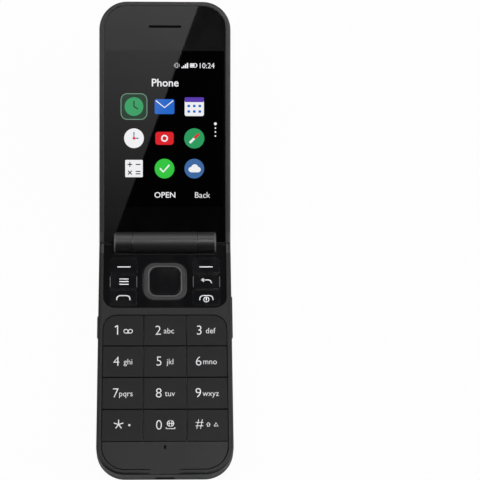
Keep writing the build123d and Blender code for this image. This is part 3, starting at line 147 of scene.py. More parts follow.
def raise_outline(low, high):
    """Close the edited flat outline into a plate between two heights."""
    bpy.ops.mesh.select_all(action="SELECT")
    bpy.ops.mesh.extrude_region_move(TRANSFORM_OT_translate={"value": (0, 0, high - low)})
    bpy.ops.mesh.select_all(action="SELECT")
    bpy.ops.mesh.normals_make_consistent(inside=False)
    bpy.ops.object.mode_set(mode="OBJECT")


def start_outline(middle, size, corner, low, steps):
    """Begin a flat rounded outline in edit mode."""
    bpy.ops.object.select_all(action="DESELECT")
    bpy.ops.mesh.primitive_plane_add(size=1, location=(middle[0], middle[1], low))
    piece = bpy.context.object
    piece.scale = (size[0], size[1], 1)
    bpy.ops.object.transform_apply(location=False, rotation=False, scale=True)
    bpy.ops.object.mode_set(mode="EDIT")
    bpy.ops.mesh.select_all(action="SELECT")
    bpy.ops.mesh.bevel(affect="VERTICES", offset=corner, segments=steps)
    return piece


def plate(middle, size, corner, low, high, steps=5):
    """Flat plate with rounded corners."""
    piece = start_outline(middle, size, corner, low, steps)
    raise_outline(low, high)
    return piece


def button(middle, radius, low, high):
    """Round flat plate."""
    nearly_round = 0.999 * radius
    return plate(middle, (2 * radius, 2 * radius), nearly_round, low, high, steps=10)


def frame_line(middle, size, corner, width, low, high):
    """Flat outline of a rounded plate, with a constant width."""
    piece = start_outline(middle, size, corner, low, steps=6)
    bpy.ops.mesh.select_all(action="SELECT")
    bpy.ops.mesh.inset(thickness=width)
    bpy.ops.mesh.delete(type="FACE")
    raise_outline(low, high)
    return piece


def stroke(points, width, low, high):
    """Drawn line of constant width through flat points."""
    bpy.ops.object.select_all(action="DESELECT")
    bpy.ops.curve.primitive_nurbs_path_add()
    curve = bpy.context.object.data
    curve.splines.clear()
    spline = curve.splines.new("POLY")
    spline.points.add(len(points) - 1)
    for target, point in zip(spline.points, points):
        target.co = (point[0], point[1], 0, 1)
    curve.bevel_depth = width / 2
    curve.bevel_resolution = 1
    curve.use_fill_caps = True
    piece = to_mesh(bpy.context.object)
    piece.scale = (1, 1, (high - low) / width)
    piece.location = (0, 0, (low + high) / 2)
    return piece


def letters(text, middle, em, low, high, squeeze, weight):
    """Line of lettering centred on a point of its baseline."""
    bpy.ops.object.select_all(action="DESELECT")
    bpy.ops.object.text_add()
    line = bpy.context.object.data
    line.body = text
    line.size = em
    line.align_x = "CENTER"
    line.resolution_u = 3
    line.offset = weight * em
    line.extrude = (high - low) / 2
    piece = to_mesh(bpy.context.object)
    piece.scale = (squeeze, 1, 1)
    piece.location = (middle[0], middle[1], (low + high) / 2)
    return piece


def join(pieces):
    """Join pieces that share a finish into one."""
    for piece in pieces:
        only(piece)
        bpy.ops.object.transform_apply(location=True, rotation=True, scale=True)
    bpy.ops.object.select_all(action="DESELECT")
    for piece in pieces:
        piece.select_set(True)
    bpy.context.view_layer.objects.active = pieces[0]
    bpy.ops.object.join()
    return bpy.context.object


def on_rim_bevel(spot, rim):
    """Whether a point in the frame of a face lies on the bevel round the rim, above its foot."""
    across = abs(spot.x) - HALF_WIDTH + TIP_CORNER
    along = abs(spot.y) - HALF_LENGTH + TIP_CORNER
    outward = math.hypot(max(across, 0), max(along, 0)) + min(max(across, along), 0)
    drop = rim - spot.z
    off_slope = abs(TIP_CORNER - outward - RIM_BEVEL + drop)
    return drop < 0.7 * RIM_BEVEL and off_slope < 0.1 * RIM_BEVEL


def round_rim(piece, face, rim, width):
    """Round the upper edge of the bevel round a rim, in edit mode."""
    bpy.ops.mesh.select_mode(type="EDGE")
    bpy.ops.mesh.select_all(action="DESELECT")
    bpy.ops.object.mode_set(mode="OBJECT")
    spots = [face.inverted() @ vertex.co for vertex in piece.data.vertices]
    for edge in piece.data.edges:
        first, last = [spots[index] for index in edge.vertices]
        level = abs(first.z - last.z) < SUNK
        edge.select = level and on_rim_bevel(first, rim) and on_rim_bevel(last, rim)
    bpy.ops.object.mode_set(mode="EDIT")
    bpy.ops.mesh.bevel(affect="EDGES", offset=width, segments=3)


def soften_edges(piece, width, steps):
    """Round every sharp edge of a piece."""
    bevel = piece.modifiers.new("soft_edges", "BEVEL")
    bevel.width = width
    bevel.segments = steps
    bevel.limit_method = "ANGLE"
    bevel.angle_limit = SOFTENED_ANGLE
    bpy.ops.object.modifier_apply(modifier=bevel.name)


def dress(node, soften=0.0, steps=2, rim=None):
    """Let a smooth copy of a CAD node, with softened edges, stand for it."""
    only(NODES[node])
    bpy.ops.object.duplicate()
    piece = bpy.context.object
    piece.parent = None
    piece.matrix_world = Matrix()
    bpy.ops.object.mode_set(mode="EDIT")
    bpy.ops.mesh.select_all(action="SELECT")
    bpy.ops.mesh.remove_doubles(threshold=WELD)
    bpy.ops.mesh.dissolve_limited(angle_limit=FLAT_ANGLE)
    if rim:
        round_rim(piece, *rim)
    bpy.ops.object.mode_set(mode="OBJECT")
    if soften:
        soften_edges(piece, soften, steps)
    bpy.ops.object.shade_smooth_by_angle(angle=SMOOTH_ANGLE)
    weighting = piece.modifiers.new("flat_faces_first", "WEIGHTED_NORMAL")
    weighting.keep_sharp = True
    bpy.ops.object.modifier_apply(modifier=weighting.name)
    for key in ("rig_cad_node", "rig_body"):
        if key in piece:
            del piece[key]
    slot = SLOT_OF[node]
    finish = FINISH_OF_NODE.get(node, FINISH_OF_SLOT[slot])
    place(piece, node + "_shell", BODY_OF[node], finish)
    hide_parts(node)


# ---------------------------------------------------------------- shader helpers
class Wire:
    """A shader value on which sums are written as on a number."""

    def __init__(self, graph, socket):
        self.graph = graph
        self.socket = socket

    def __add__(self, other):
        return self.graph.maths("ADD", self, other)

    def __radd__(self, other):
        return self.graph.maths("ADD", other, self)

    def __sub__(self, other):
        return self.graph.maths("SUBTRACT", self, other)

    def __rsub__(self, other):
        return self.graph.maths("SUBTRACT", other, self)

    def __mul__(self, other):
        return self.graph.maths("MULTIPLY", self, other)

    def __pow__(self, other):
        return self.graph.maths("POWER", self, other)

    def between(self, low, high):
        """Smooth step from 0 at low to 1 at high."""
        limits = {"Value": self, "From Min": low, "From Max": high}
        settings = {"interpolation_type": "SMOOTHSTEP"}
        return self.graph.node("ShaderNodeMapRange", settings, limits)


class Graph:
    """A shader's nodes, all made by one method."""

    def __init__(self, tree):
        self.tree = tree

    def put(self, socket, value):
        """Give an input a wire, a colour or a number."""
        if isinstance(value, Wire):
            self.tree.links.new(value.socket, socket)
        elif socket.type == "RGBA":
            socket.default_value = (*value, 1)
        else:
            socket.default_value = value

    def node(self, kind, settings=None, values=None, output=0):
        """New node with its settings and inputs, as the wire from one of its outputs."""
        node = self.tree.nodes.new(kind)
        for key, value in (settings or {}).items():
            setattr(node, key, value)
        for key, value in (values or {}).items():
            self.put(node.inputs[key], value)
        return Wire(self, node.outputs[output])

    def maths(self, operation, first, second):
        """One sum on two values."""
        return self.node("ShaderNodeMath", {"operation": operation}, {0: first, 1: second})

    def colour(self, first, second, share):
        """Colour part of the way from the first to the second."""
        values = {0: share, 6: first, 7: second}
        return self.node("ShaderNodeMix", {"data_type": "RGBA"}, values, output=2)


class Finish(Graph):
    """A material for one finish."""

    def __init__(self, name, constants=None):
        self.material = bpy.data.materials.new(name)
        self.material.use_nodes = True
        super().__init__(self.material.node_tree)
        self.shader = self.tree.nodes["Principled BSDF"]
        self.surface(constants or {})

    def surface(self, values):
        """Set inputs of the material's shader."""
        for key, value in values.items():
            self.put(self.shader.inputs[key], value)

    def replace_surface(self, shader):
        """Show another shader in the place of the material's own."""
        self.put(self.tree.nodes["Material Output"].inputs["Surface"], shader)

    def here(self, stretch=(1, 1, 1)):
        """The point in the piece's own metres, stretched along the axes."""
        spot = self.node("ShaderNodeTexCoord", output="Object")
        return self.node("ShaderNodeMapping", None, {"Vector": spot, "Scale": stretch})

    def noise(self, size, detail=2, stretch=(1, 1, 1)):
        """Cloudy variation with features of about the given size."""
        values = {"Vector": self.here(stretch), "Scale": 1 / size, "Detail": detail}
        return self.node("ShaderNodeTexNoise", None, values)

    def waves(self, direction, size):
        """Even bands of about the given size."""
        values = {"Vector": self.here(), "Scale": 1 / size}
        return self.node("ShaderNodeTexWave", {"bands_direction": direction}, values, output="Fac")

    def axis(self, name):
        """One coordinate of the point, in metres."""
        return self.node("ShaderNodeSeparateXYZ", None, {"Vector": self.here()}, output=name)

    def on_barrel(self):
        """1 on the round of the hinge barrel and 0 elsewhere."""
        across = self.axis("Y") - HINGE_Y
        above = self.axis("Z") - HINGE_Z
        spread = (across * across + above * above) ** 0.5
        return 1 - spread.between(BARREL_RADIUS + 0.05 * MM, BARREL_RADIUS + 0.2 * MM)

    def rounded_normal(self, radius):
        """Normal that turns smoothly over the edges."""
        return self.node("ShaderNodeBevel", {"samples": 4}, {"Radius": radius})

    def wear_and_highlight_edges(self, radius):
        """1 on outward edges and 0 on flat stretches."""
        flat = self.node("ShaderNodeNewGeometry", output="Normal")
        both = {0: self.rounded_normal(radius), 1: flat}
        settings = {"operation": "DOT_PRODUCT"}
        match = self.node("ShaderNodeVectorMath", settings, both, output="Value")
        return (1 - match).between(0.02, 0.25)

    def relief(self, height, depth, strength, radius=0.0):
        """Surface relief of a height in 0 to 1, over rounded edges where a radius is given."""
        values = {"Height": height, "Distance": depth, "Strength": strength}
        if radius:
            values["Normal"] = self.rounded_normal(radius)
        return self.node("ShaderNodeBump", None, values)


# ---------------------------------------------------------------- finishes
def moulded_plastic(name, colour, wear_and_highlight, roughness, ior=1.5, edge=0.2 * MM, polish=0.0):
    """Fine matte moulding, paler along its edges, partly as wear from handling and partly as a
    painted highlight, and glossier on the barrel.
    """
    finish = Finish(name, {"IOR": ior})
    if polish:
        finish.surface({"Coat Weight": finish.on_barrel() * polish, "Coat Roughness": 0.28})
    specks = finish.noise(0.12 * MM, detail=3)
    clouds = finish.noise(14 * MM, detail=4)
    # Paler edges: wear from handling, and partly a painted highlight where the edge colour is much
    # paler
    edges = finish.wear_and_highlight_edges(edge)
    tone = clouds * 0.25 + specks * 0.25 + edges * 0.5
    finish.surface({
        "Base Color": finish.colour(colour, wear_and_highlight, tone),
        "Roughness": roughness + clouds * 0.08 - edges * 0.08,
        "Normal": finish.relief(specks, 0.012 * MM, 0.5, edge),
    })
    return finish.material


def gloss_plastic(name, colour, haze, roughness=0.05, smear=0.05, ior=1.5, pale_from=None):
    """Polished dark plastic with faint wiping marks, and a paler backing past a given reach."""
    finish = Finish(name, {"IOR": ior})
    smears = finish.noise(6 * MM, detail=5, stretch=(1, 0.35, 1))
    backing = colour
    if pale_from:
        paleness = finish.axis("Y").between(pale_from, pale_from + 20 * MM)
        backing = finish.colour(colour, (0.006, 0.006, 0.0062), paleness)
    specks = finish.noise(0.6 * MM)
    finish.surface({
        "Base Color": finish.colour(backing, haze, smears.between(0.35, 0.75) * 0.5),
        "Roughness": roughness + smears.between(0.4, 0.8) * smear,
        "Normal": finish.relief(specks, 0.002 * MM, 0.25, 0.12 * MM),
    })
    return finish.material


def brushed_metal(name, colour, shade, roughness=0.32):
    """Rolled metal with fine drawn lines."""
    finish = Finish(name, {"Metallic": 1.0})
    lines = finish.noise(0.8 * MM, detail=4, stretch=(1, 12, 12))
    clouds = finish.noise(5 * MM)
    finish.surface({
        "Base Color": finish.colour(colour, shade, lines * 0.6 + clouds * 0.4),
        "Roughness": roughness + lines * 0.15,
        "Normal": finish.relief(lines, 0.004 * MM, 0.4),
    })
    return finish.material


def silicone_rubber():
    """Soft grey rubber with a fine grain."""
    finish = Finish("silicone_rubber", {"IOR": 1.42})
    clouds = finish.noise(3 * MM, detail=4)
    specks = finish.noise(0.2 * MM)
    finish.surface({
        "Base Color": finish.colour((0.16, 0.17, 0.18), (0.24, 0.25, 0.26), clouds),
        "Roughness": 0.6 + specks * 0.2,
        "Normal": finish.relief(specks, 0.01 * MM, 0.6),
    })
    return finish.material


def circuit_board():
    """Green board with paler copper tracks under the lacquer."""
    finish = Finish("circuit_board", {"IOR": 1.5})
    tracks = finish.node("ShaderNodeTexBrick", None, {
        "Vector": finish.here(),
        "Color1": (0, 0, 0),
        "Color2": (0.3, 0.3, 0.3),
        "Mortar": (1, 1, 1),
        "Scale": 1 / (2.4 * MM),
        "Mortar Size": 0.05,
    }, output="Fac")
    clouds = finish.noise(4 * MM, detail=3)
    lacquer = finish.colour((0.010, 0.070, 0.030), (0.016, 0.100, 0.045), clouds)
    finish.surface({
        "Base Color": finish.colour(lacquer, (0.05, 0.24, 0.10), tracks * 0.8),
        "Roughness": 0.3 + clouds * 0.1,
        "Normal": finish.relief(tracks, 0.02 * MM, 0.5),
    })
    return finish.material


def battery_wrap():
    """Printed film round the battery, with a darker band near one end."""
    finish = Finish("battery_wrap", {"IOR": 1.48})
    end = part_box("battery")[1].y
    band = finish.axis("Y").between(end - 9 * MM, end - 8.8 * MM)
    creases = finish.noise(9 * MM, detail=6)
    body = finish.colour((0.32, 0.33, 0.35), (0.40, 0.41, 0.43), creases)
    finish.surface({
        "Base Color": finish.colour(body, (0.03, 0.03, 0.035), band),
        "Roughness": 0.35 + creases * 0.15,
        "Normal": finish.relief(creases, 0.05 * MM, 0.3),
    })
    return finish.material


def flex_film():
    """Amber film with fine copper lines along it."""
    finish = Finish("flex_film", {"IOR": 1.6})
    lines = finish.waves("X", 1.1 * MM)
    clouds = finish.noise(2 * MM)
    tone = lines * 0.7 + clouds * 0.3
    finish.surface({
        "Base Color": finish.colour((0.35, 0.11, 0.01), (0.60, 0.26, 0.06), tone),
        "Roughness": 0.28 + clouds * 0.1,
        "Normal": finish.relief(lines, 0.01 * MM, 0.4),
    })
    return finish.material


def camera_glass():
    """Dark coated lens with a violet sheen that turns with the coating's thickness."""
    finish = Finish("camera_glass", {"IOR": 1.6})
    rings = finish.noise(1.5 * MM, detail=1)
    finish.surface({
        "Base Color": finish.colour((0.004, 0.004, 0.010), (0.020, 0.006, 0.030), rings),
        "Roughness": 0.03 + rings * 0.03,
        "Normal": finish.relief(rings, 0.002 * MM, 0.2),
    })
    return finish.material


def diffuser_plastic():
    """Milky flash cover with moulded ripples."""
    finish = Finish("diffuser_plastic", {"IOR": 1.49})
    ripples = finish.waves("DIAGONAL", 1.5 * MM)
    clouds = finish.noise(1 * MM)
    finish.surface({
        "Base Color": finish.colour((0.72, 0.70, 0.62), (0.86, 0.84, 0.78), clouds),
        "Roughness": 0.22 + ripples * 0.1,
        "Normal": finish.relief(ripples, 0.05 * MM, 0.6),
    })
    return finish.material


def woven_mesh_painted_shade():
    """Fine metal gauze, near black: partly its own dark colour and partly painted shade of the slot
    it sits in.
    """
    finish = Finish("woven_mesh_painted_shade", {"Metallic": 0.8, "IOR": 1.2})
    weave = finish.waves("X", 0.5 * MM) * finish.waves("Y", 0.5 * MM)
    finish.surface({
        "Base Color": finish.colour((0.001, 0.001, 0.001), (0.010, 0.010, 0.0105), weave),
        "Roughness": 0.5 + weave * 0.2,
        "Normal": finish.relief(weave, 0.05 * MM, 0.8),
    })
    return finish.material


def printed_ink(name, colour):
    """Matt screen print, a little uneven in tone."""
    finish = Finish(name, {"IOR": 1.45})
    specks = finish.noise(0.15 * MM, detail=3)
    paler = tuple(min(1.0, 1.12 * value) for value in colour)
    finish.surface({
        "Base Color": finish.colour(colour, paler, specks),
        "Roughness": 0.55 + specks * 0.15,
        "Normal": finish.relief(specks, 0.004 * MM, 0.3),
    })
    return finish.material


def lit_pixels(name, colour):
    """Glowing part of a screen picture, under the same gloss as the glass."""
    finish = Finish(name, {"IOR": 1.5, "Emission Strength": 1.0})
    dots = finish.noise(0.2 * MM, detail=1)
    dimmer = tuple(0.93 * value for value in colour)
    finish.surface({
        "Base Color": finish.colour((0.004, 0.004, 0.004), (0.006, 0.006, 0.006), dots),
        "Emission Color": finish.colour(dimmer, colour, dots),
        "Roughness": 0.05 + dots * 0.02,
    })
    return finish.material


# ---------------------------------------------------------------- camera, lights and floor
# Name, place, size and watts of each lamp
LAMPS = (
    ("top_softbox", (0, 0.085, 0.6), (0.24, 0.2), 1.7),
    ("left_softbox", (-0.9, 0.02, 0.75), (0.6, 0.9), 4.5),
    ("right_softbox", (0.9, 0.02, 0.75), (0.6, 0.9), 6.5),
    ("left_fill", (-0.42, -0.39, 0.96), (0.25, 0.5), 1.5),
    ("right_fill", (0.42, -0.39, 0.96), (0.25, 0.5), 1.5),
    ("right_strip", (1.0, 0.3, 0.3), (1.4, 0.6), 4),
    ("rear_strip", (0, 0.807, 0.82), (0.5, 0.62), 2.4),
)
LAMP_TARGET = Vector((0, 0.05, 0.02))
WHITE = (1, 1, 1)

# Card that the window reflects: its height above the lid, its size, where its slanting edge
# shows at the top and the foot of the window, and its glow at the middle and per card's length
CARD_HEIGHT = 400 * MM
CARD_LENGTH, CARD_WIDTH = 520 * MM, 260 * MM
CARD_EDGE_TOP = Vector((13.9, 97.6, 0)) * MM
CARD_EDGE_FOOT = Vector((-20.4, 3.3, 0)) * MM
CARD_GLOW, CARD_GLOW_RISE = 0.68, 3.3

# Floor: its size, and how much of its plain white each kind of ray sees
FLOOR_SIZE = 12
FLOOR_TO_CAMERA, FLOOR_TO_GLOSS = 0.96, 0.1

# Sky: tone from the horizon up, and its share from the front to the back
SKY_TONES = ((0.05, 0.5), (0.55, 0.03))
SKY_FRONT, SKY_BACK, SKY_FRONT_SHARE = -0.7, 0.5, 0.15


def axes(right, up, out):
    """Rotation whose axes lie along the given directions."""
    return Matrix((right, up, out)).transposed().to_4x4()


def add_plane(name, size):
    """Flat square at the origin."""
    bpy.ops.object.select_all(action="DESELECT")
    bpy.ops.mesh.primitive_plane_add(size=size)
    plane = bpy.context.object
    plane.name = name
    return plane


def add_camera():
    """Camera square to the open lid."""
    up, back = [INSIDE_LID.to_3x3() @ Vector(axis) for axis in ((0, 1, 0), (0, 0, 1))]
    target = INSIDE_LID @ Vector((0, CAMERA_REACH, 0))
    spot = Matrix.Translation(target + CAMERA_DISTANCE * back)
    bpy.ops.object.camera_add()
    camera = bpy.context.object
    camera.name = "camera"
    turn = axes(Vector((1, 0, 0)), up, back) @ Matrix.Rotation(-CAMERA_YAW, 4, "Y")
    camera.matrix_world = spot @ turn
    camera.data.lens = CAMERA_LENS
    camera.data.clip_start = CAMERA_CLIP
    bpy.context.scene.camera = camera


def add_lamp(name, spot, size, power):
    """Soft rectangular lamp that faces the phone."""
    bpy.ops.object.light_add(type="AREA", location=spot)
    lamp = bpy.context.object
    lamp.name = name
    lamp.data.shape = "RECTANGLE"
    lamp.data.size, lamp.data.size_y = size
    lamp.data.energy = power
    lamp.visible_camera = False
    direction = LAMP_TARGET - Vector(spot)
    lamp.rotation_euler = direction.to_track_quat("-Z", "Y").to_euler()


def add_window_card():
    """Card above the lid whose slanting edge divides the window's reflection."""
    grow = 1 + CARD_HEIGHT / CAMERA_DISTANCE
    top, foot = CARD_EDGE_TOP * grow, CARD_EDGE_FOOT * grow
    along = (top - foot).normalized()
    aside = Vector((-along.y, along.x, 0))
    middle = (top + foot) / 2 + aside * CARD_WIDTH / 2
    card = add_plane("reflection_card", 1)
    spot = Matrix.Translation(middle + Vector((0, CAMERA_REACH, CARD_HEIGHT)))
    size = Matrix.Diagonal((CARD_LENGTH, CARD_WIDTH, 1, 1))
    card.matrix_world = INSIDE_LID @ spot @ axes(along, aside, Vector((0, 0, 1))) @ size
    finish = Finish("card_glow")
    strength = finish.axis("X") * CARD_GLOW_RISE + CARD_GLOW
    glow = finish.node("ShaderNodeEmission", None, {"Color": WHITE, "Strength": strength})
    finish.replace_surface(glow)
    card.data.materials.append(finish.material)
    card.visible_camera = False
    card.visible_diffuse = False
    card.visible_shadow = False


def add_floor():
    """White floor that keeps a soft shadow."""
    floor = add_plane("floor", FLOOR_SIZE)
    finish = Finish("white_floor", {"Roughness": 0.9})
    speckle = finish.noise(40 * MM)
    paint = finish.colour((0.50, 0.50, 0.50), (0.52, 0.52, 0.52), speckle)
    finish.surface({"Base Color": paint})
    glow = finish.node("ShaderNodeEmission", None, {"Color": WHITE, "Strength": 1.0})
    camera_ray = finish.node("ShaderNodeLightPath", output="Is Camera Ray")
    glossy_ray = finish.node("ShaderNodeLightPath", output="Is Glossy Ray")
    share = camera_ray * FLOOR_TO_CAMERA + glossy_ray * FLOOR_TO_GLOSS
    painted = Wire(finish, finish.shader.outputs[0])
    mixed = finish.node("ShaderNodeMixShader", None, {0: share, 1: painted, 2: glow})
    finish.replace_surface(mixed)
    floor.data.materials.append(finish.material)


def set_world():
    """White to the camera; to the phone, pale at the horizon behind the lid and dim elsewhere."""
    world = bpy.data.worlds.new("studio")
    bpy.context.scene.world = world
    world.use_nodes = True
    sky = Graph(world.node_tree)
    spot = sky.node("ShaderNodeTexCoord", output="Generated")
    back = sky.node("ShaderNodeSeparateXYZ", None, {"Vector": spot}, output="Y")
    height = sky.node("ShaderNodeSeparateXYZ", None, {"Vector": spot}, output="Z")
    tone = sky.node("ShaderNodeValToRGB", None, {"Fac": height})
    for stop, (position, level) in zip(tone.socket.node.color_ramp.elements, SKY_TONES):
        stop.position = position
        stop.color = (level, level, level, 1)
    limits = {"From Min": SKY_FRONT, "From Max": SKY_BACK, "To Min": SKY_FRONT_SHARE}
    share = sky.node("ShaderNodeMapRange", None, {"Value": back, **limits})
    dimmed = sky.node("ShaderNodeVectorMath", {"operation": "MULTIPLY"}, {0: tone, 1: share})
    camera_ray = sky.node("ShaderNodeLightPath", output="Is Camera Ray")
    shade = sky.colour(dimmed, WHITE, camera_ray)
    sky.put(sky.tree.nodes["Background"].inputs["Color"], shade)


# ---------------------------------------------------------------- studio
add_camera()
set_world()
add_floor()
add_window_card()
for lamp in LAMPS:
    add_lamp(*lamp)
bpy.context.scene.view_settings.view_transform = "Standard"

# ---------------------------------------------------------------- dressing
# Each plastic has a colour, an edge colour (wear, and partly a painted highlight) or a hazy colour,
# a roughness and an index of refraction
FINISH_OF_SLOT = {
    "housing": moulded_plastic(
        "base_housing", (0.003, 0.003, 0.0033), (0.009, 0.009, 0.0095), 0.38, 1.35, polish=0.65),
    "rear_housing": moulded_plastic(
        "rear_housing", (0.010, 0.010, 0.011), (0.024, 0.024, 0.026), 0.5, 1.3),
    "lid_housing": moulded_plastic(
        "lid_housing", (0.003, 0.003, 0.0033), (0.010, 0.010, 0.0105), 0.38, 1.36, polish=0.3),
    "nav_gloss": gloss_plastic(
        "nav_gloss_black", (0.003, 0.003, 0.0035), (0.005, 0.005, 0.0055)),
    "nav_keys": gloss_plastic(
        "nav_key_gloss", (0.003, 0.003, 0.0035), (0.006, 0.006, 0.0065), 0.08),
    "number_keys": moulded_plastic(
        "number_key_plastic", (0.003, 0.003, 0.0033), (0.008, 0.008, 0.0085), 0.42, 1.28),
    "ring_finish": moulded_plastic(
        "ring_plastic", (0.007, 0.007, 0.0073), (0.022, 0.022, 0.023), 0.34, 1.41),
    "side_key_plastic": moulded_plastic(
        "side_key_plastic", (0.004, 0.004, 0.0043), (0.012, 0.012, 0.0125), 0.4, 1.35),
    # Barrel caps: their pale edge colour is a painted highlight on the caps' chamfers, where the
    # side light catches them
    "barrel_caps": moulded_plastic(
        "barrel_cap_plastic_painted_highlight", (0.03, 0.03, 0.031), (0.14, 0.14, 0.145), 0.26),
    "window_glass": gloss_plastic(
        "lid_window_glass", (0.0008, 0.0008, 0.001), (0.002, 0.002, 0.0022), 0.012, 0.012,
        pale_from=100 * MM),
    "outer_glass": gloss_plastic(
        "outer_window_glass", (0.0015, 0.0015, 0.0018), (0.0025, 0.0025, 0.003), 0.03, ior=1.36),
    "display_panel": gloss_plastic(
        "display_black", (0.001, 0.001, 0.0012), (0.002, 0.002, 0.0022), 0.1),
    "silicone": silicone_rubber(),
    "board": circuit_board(),
    "steel": brushed_metal("spring_steel", (0.55, 0.55, 0.56), (0.38, 0.38, 0.39)),
    "contact_metal": brushed_metal(
        "gold_contacts", (0.75, 0.52, 0.20), (0.60, 0.38, 0.13), 0.25),
    "magnet_metal": brushed_metal(
        "plated_magnet", (0.62, 0.61, 0.58), (0.45, 0.44, 0.42), 0.22),
    "mesh_metal": woven_mesh_painted_shade(),
    "inner_plastic": moulded_plastic(
        "inner_plastic", (0.05, 0.05, 0.055), (0.08, 0.08, 0.085), 0.6, edge=0.1 * MM),
    "battery_sleeve": battery_wrap(),
    "flex_film": flex_film(),
    "lens_glass": camera_glass(),
    "flash_plastic": diffuser_plastic(),
}
FINISH_OF_NODE = {
    # Lid frame: a paler, glossier copy of the lid housing, whose extra paleness is painted light
    # that brightens the lid's rim
    "lid_frame": moulded_plastic(
        "lid_frame_plastic_painted_light", (0.004, 0.004, 0.0042), (0.018, 0.018, 0.0187), 0.36, 1.46,
        polish=0.3),
    "usb_socket": brushed_metal(
        "blackened_steel", (0.05, 0.05, 0.052), (0.03, 0.03, 0.032), 0.35),
}
for node, piece in NODES.items():
    piece.data.materials.clear()
    piece.data.materials.append(FINISH_OF_SLOT[SLOT_OF[node]])

SHELLS = (
    "base_front_cover", "battery_cover", "nav_plate", "lid_frame", "lid_outer_cover",
    "main_window", "outer_window", "hinge_caps", "headset_socket", "camera_window",
    "flash_lens", "usb_socket",
)

# Frame and height of a rim whose bevel is rounded, and the width of the rounding
ROUNDED_RIMS = {
    "base_front_cover": (BASE_FACE, BASE_RIM, 0.6 * MM),
    "lid_frame": (INSIDE_LID, LID_RIM, 0.2 * MM),
}

# Widths of the rounding on sharp edges: on the keys of three slots, and on the navigation ring
SOFTENED_KEYS = {"number_keys": 0.08 * MM, "side_key_plastic": 0.08 * MM, "nav_keys": 0.03 * MM}
SOFTENED_RING = 0.25 * MM

for node in SHELLS:
    dress(node, rim=ROUNDED_RIMS.get(node))
for node in NODES:
    if SLOT_OF[node] in SOFTENED_KEYS:
        dress(node, SOFTENED_KEYS[SLOT_OF[node]])
dress("nav_ring", SOFTENED_RING, steps=3)

# ---------------------------------------------------------------- key legends
INK_WHITE = printed_ink("legend_white", (0.62, 0.62, 0.63))
DIGIT_EM, DIGIT_SQUEEZE, DIGIT_WEIGHT = 5.9 * MM, 0.95, -0.014
LETTER_EM, LETTER_SQUEEZE, LETTER_WEIGHT = 3.45 * MM, 0.93, -0.006

# In millimetres: height of a digit, how far the hash sign and the letters stand above the digits'
# baseline, how far the top of the 1 is above the row's middle, and where its flag ends from there
DIGIT_HEIGHT, HASH_RISE, LETTER_RISE = 4.3, 0.7, 0.6
ONE_TOP, ONE_FLAG = 2.0, (-1.05, -0.75)

# Widths of the drawn lines
FLAG_LINE = 0.5 * MM
STAR_LINE = 0.42 * MM
LOOP_LINE = 0.28 * MM
GLOBE_LINE, MERIDIAN_LINE, EQUATOR_LINE = 0.35 * MM, 0.28 * MM, 0.3 * MM
SPACE_BAR_LINE = 0.38 * MM
SHIFT_LINE = 0.34 * MM
MARK_LINE, ARROW_HEAD_LINE = 0.46 * MM, 0.42 * MM
POWER_LINE = 0.34 * MM

# Upright arrow and triangle, in millimetres from their middles
SHIFT_ARROW = (
    (0, 0.9), (-0.8, 0.1), (-0.4, 0.1), (-0.4, -0.7), (0.4, -0.7), (0.4, 0.1), (0.8, 0.1), (0, 0.9),
)
SHIFT_TRIANGLE = ((-0.8, -0.6), (0, 0.8), (0.8, -0.6), (-0.8, -0.6))


def at(x, reach):
    """Point of the base's face, from millimetres across and along from the hinge."""
    return Vector((x * MM, -reach * MM))


def around(spot, offsets):
    """Points at offsets in millimetres from a spot."""
    return [spot + Vector(offset) * MM for offset in offsets]


def polar(middle, radius, degrees):
    """Point at an angle round a middle."""
    angle = math.radians(degrees)
    return (middle[0] + radius * math.cos(angle), middle[1] + radius * math.sin(angle))


def arc(middle, radius, first, last, steps):
    """Points along a circular arc, with the angles in degrees."""
    turns = [first + (last - first) * step / steps for step in range(steps + 1)]
    return [polar(middle, radius, turn) for turn in turns]


def lay_on_key(key, pieces, suffix, finish=INK_WHITE):
    """Join pieces and lay them on a key, to ride with it."""
    place(join(pieces), key + suffix, BODY_OF[key], finish, BASE_FACE)


def voicemail_mark(spot):
    """Two loops on one line."""
    pieces = [stroke(around(spot, ((-0.9, -0.82), (0.9, -0.82))), LOOP_LINE, *INKED)]
    for loop in around(spot, ((-0.92, 0), (0.92, 0))):
        pieces.append(frame_line(loop, (1.95 * MM, 1.95 * MM), 0.97 * MM, LOOP_LINE, *INKED))
    return pieces


def star_mark(spot):
    """Five arms from one middle, and a dot to the right."""
    tips = [polar(spot, 2.0 * MM, angle) for angle in (90, 18, -54, -126, 162)]
    arms = [stroke([spot, tip], STAR_LINE, *INKED) for tip in tips]
    return arms + [button(at(-14.2, 79.9), 0.45 * MM, *INKED)]


def globe_mark(spot):
    """Globe above a space bar."""
    left, middle, right = around(spot, ((-1.3, 0.55), (0, 0.55), (1.3, 0.55)))
    bar = around(spot, ((-1.7, -1.05), (-1.7, -1.65), (1.7, -1.65), (1.7, -1.05)))
    return [
        frame_line(middle, (2.9 * MM, 2.9 * MM), 1.44 * MM, GLOBE_LINE, *INKED),
        frame_line(middle, (1.3 * MM, 2.9 * MM), 0.64 * MM, MERIDIAN_LINE, *INKED),
        stroke([left, right], EQUATOR_LINE, *INKED),
        stroke(bar, SPACE_BAR_LINE, *INKED),
    ]


def shift_mark(spot):
    """Upright outline arrow, and a small triangle beside it."""
    arrow = around(spot, SHIFT_ARROW)
    triangle = around(spot + Vector((3.1, 0)) * MM, SHIFT_TRIANGLE)
    return [stroke(corners, SHIFT_LINE, *INKED) for corners in (arrow, triangle)]


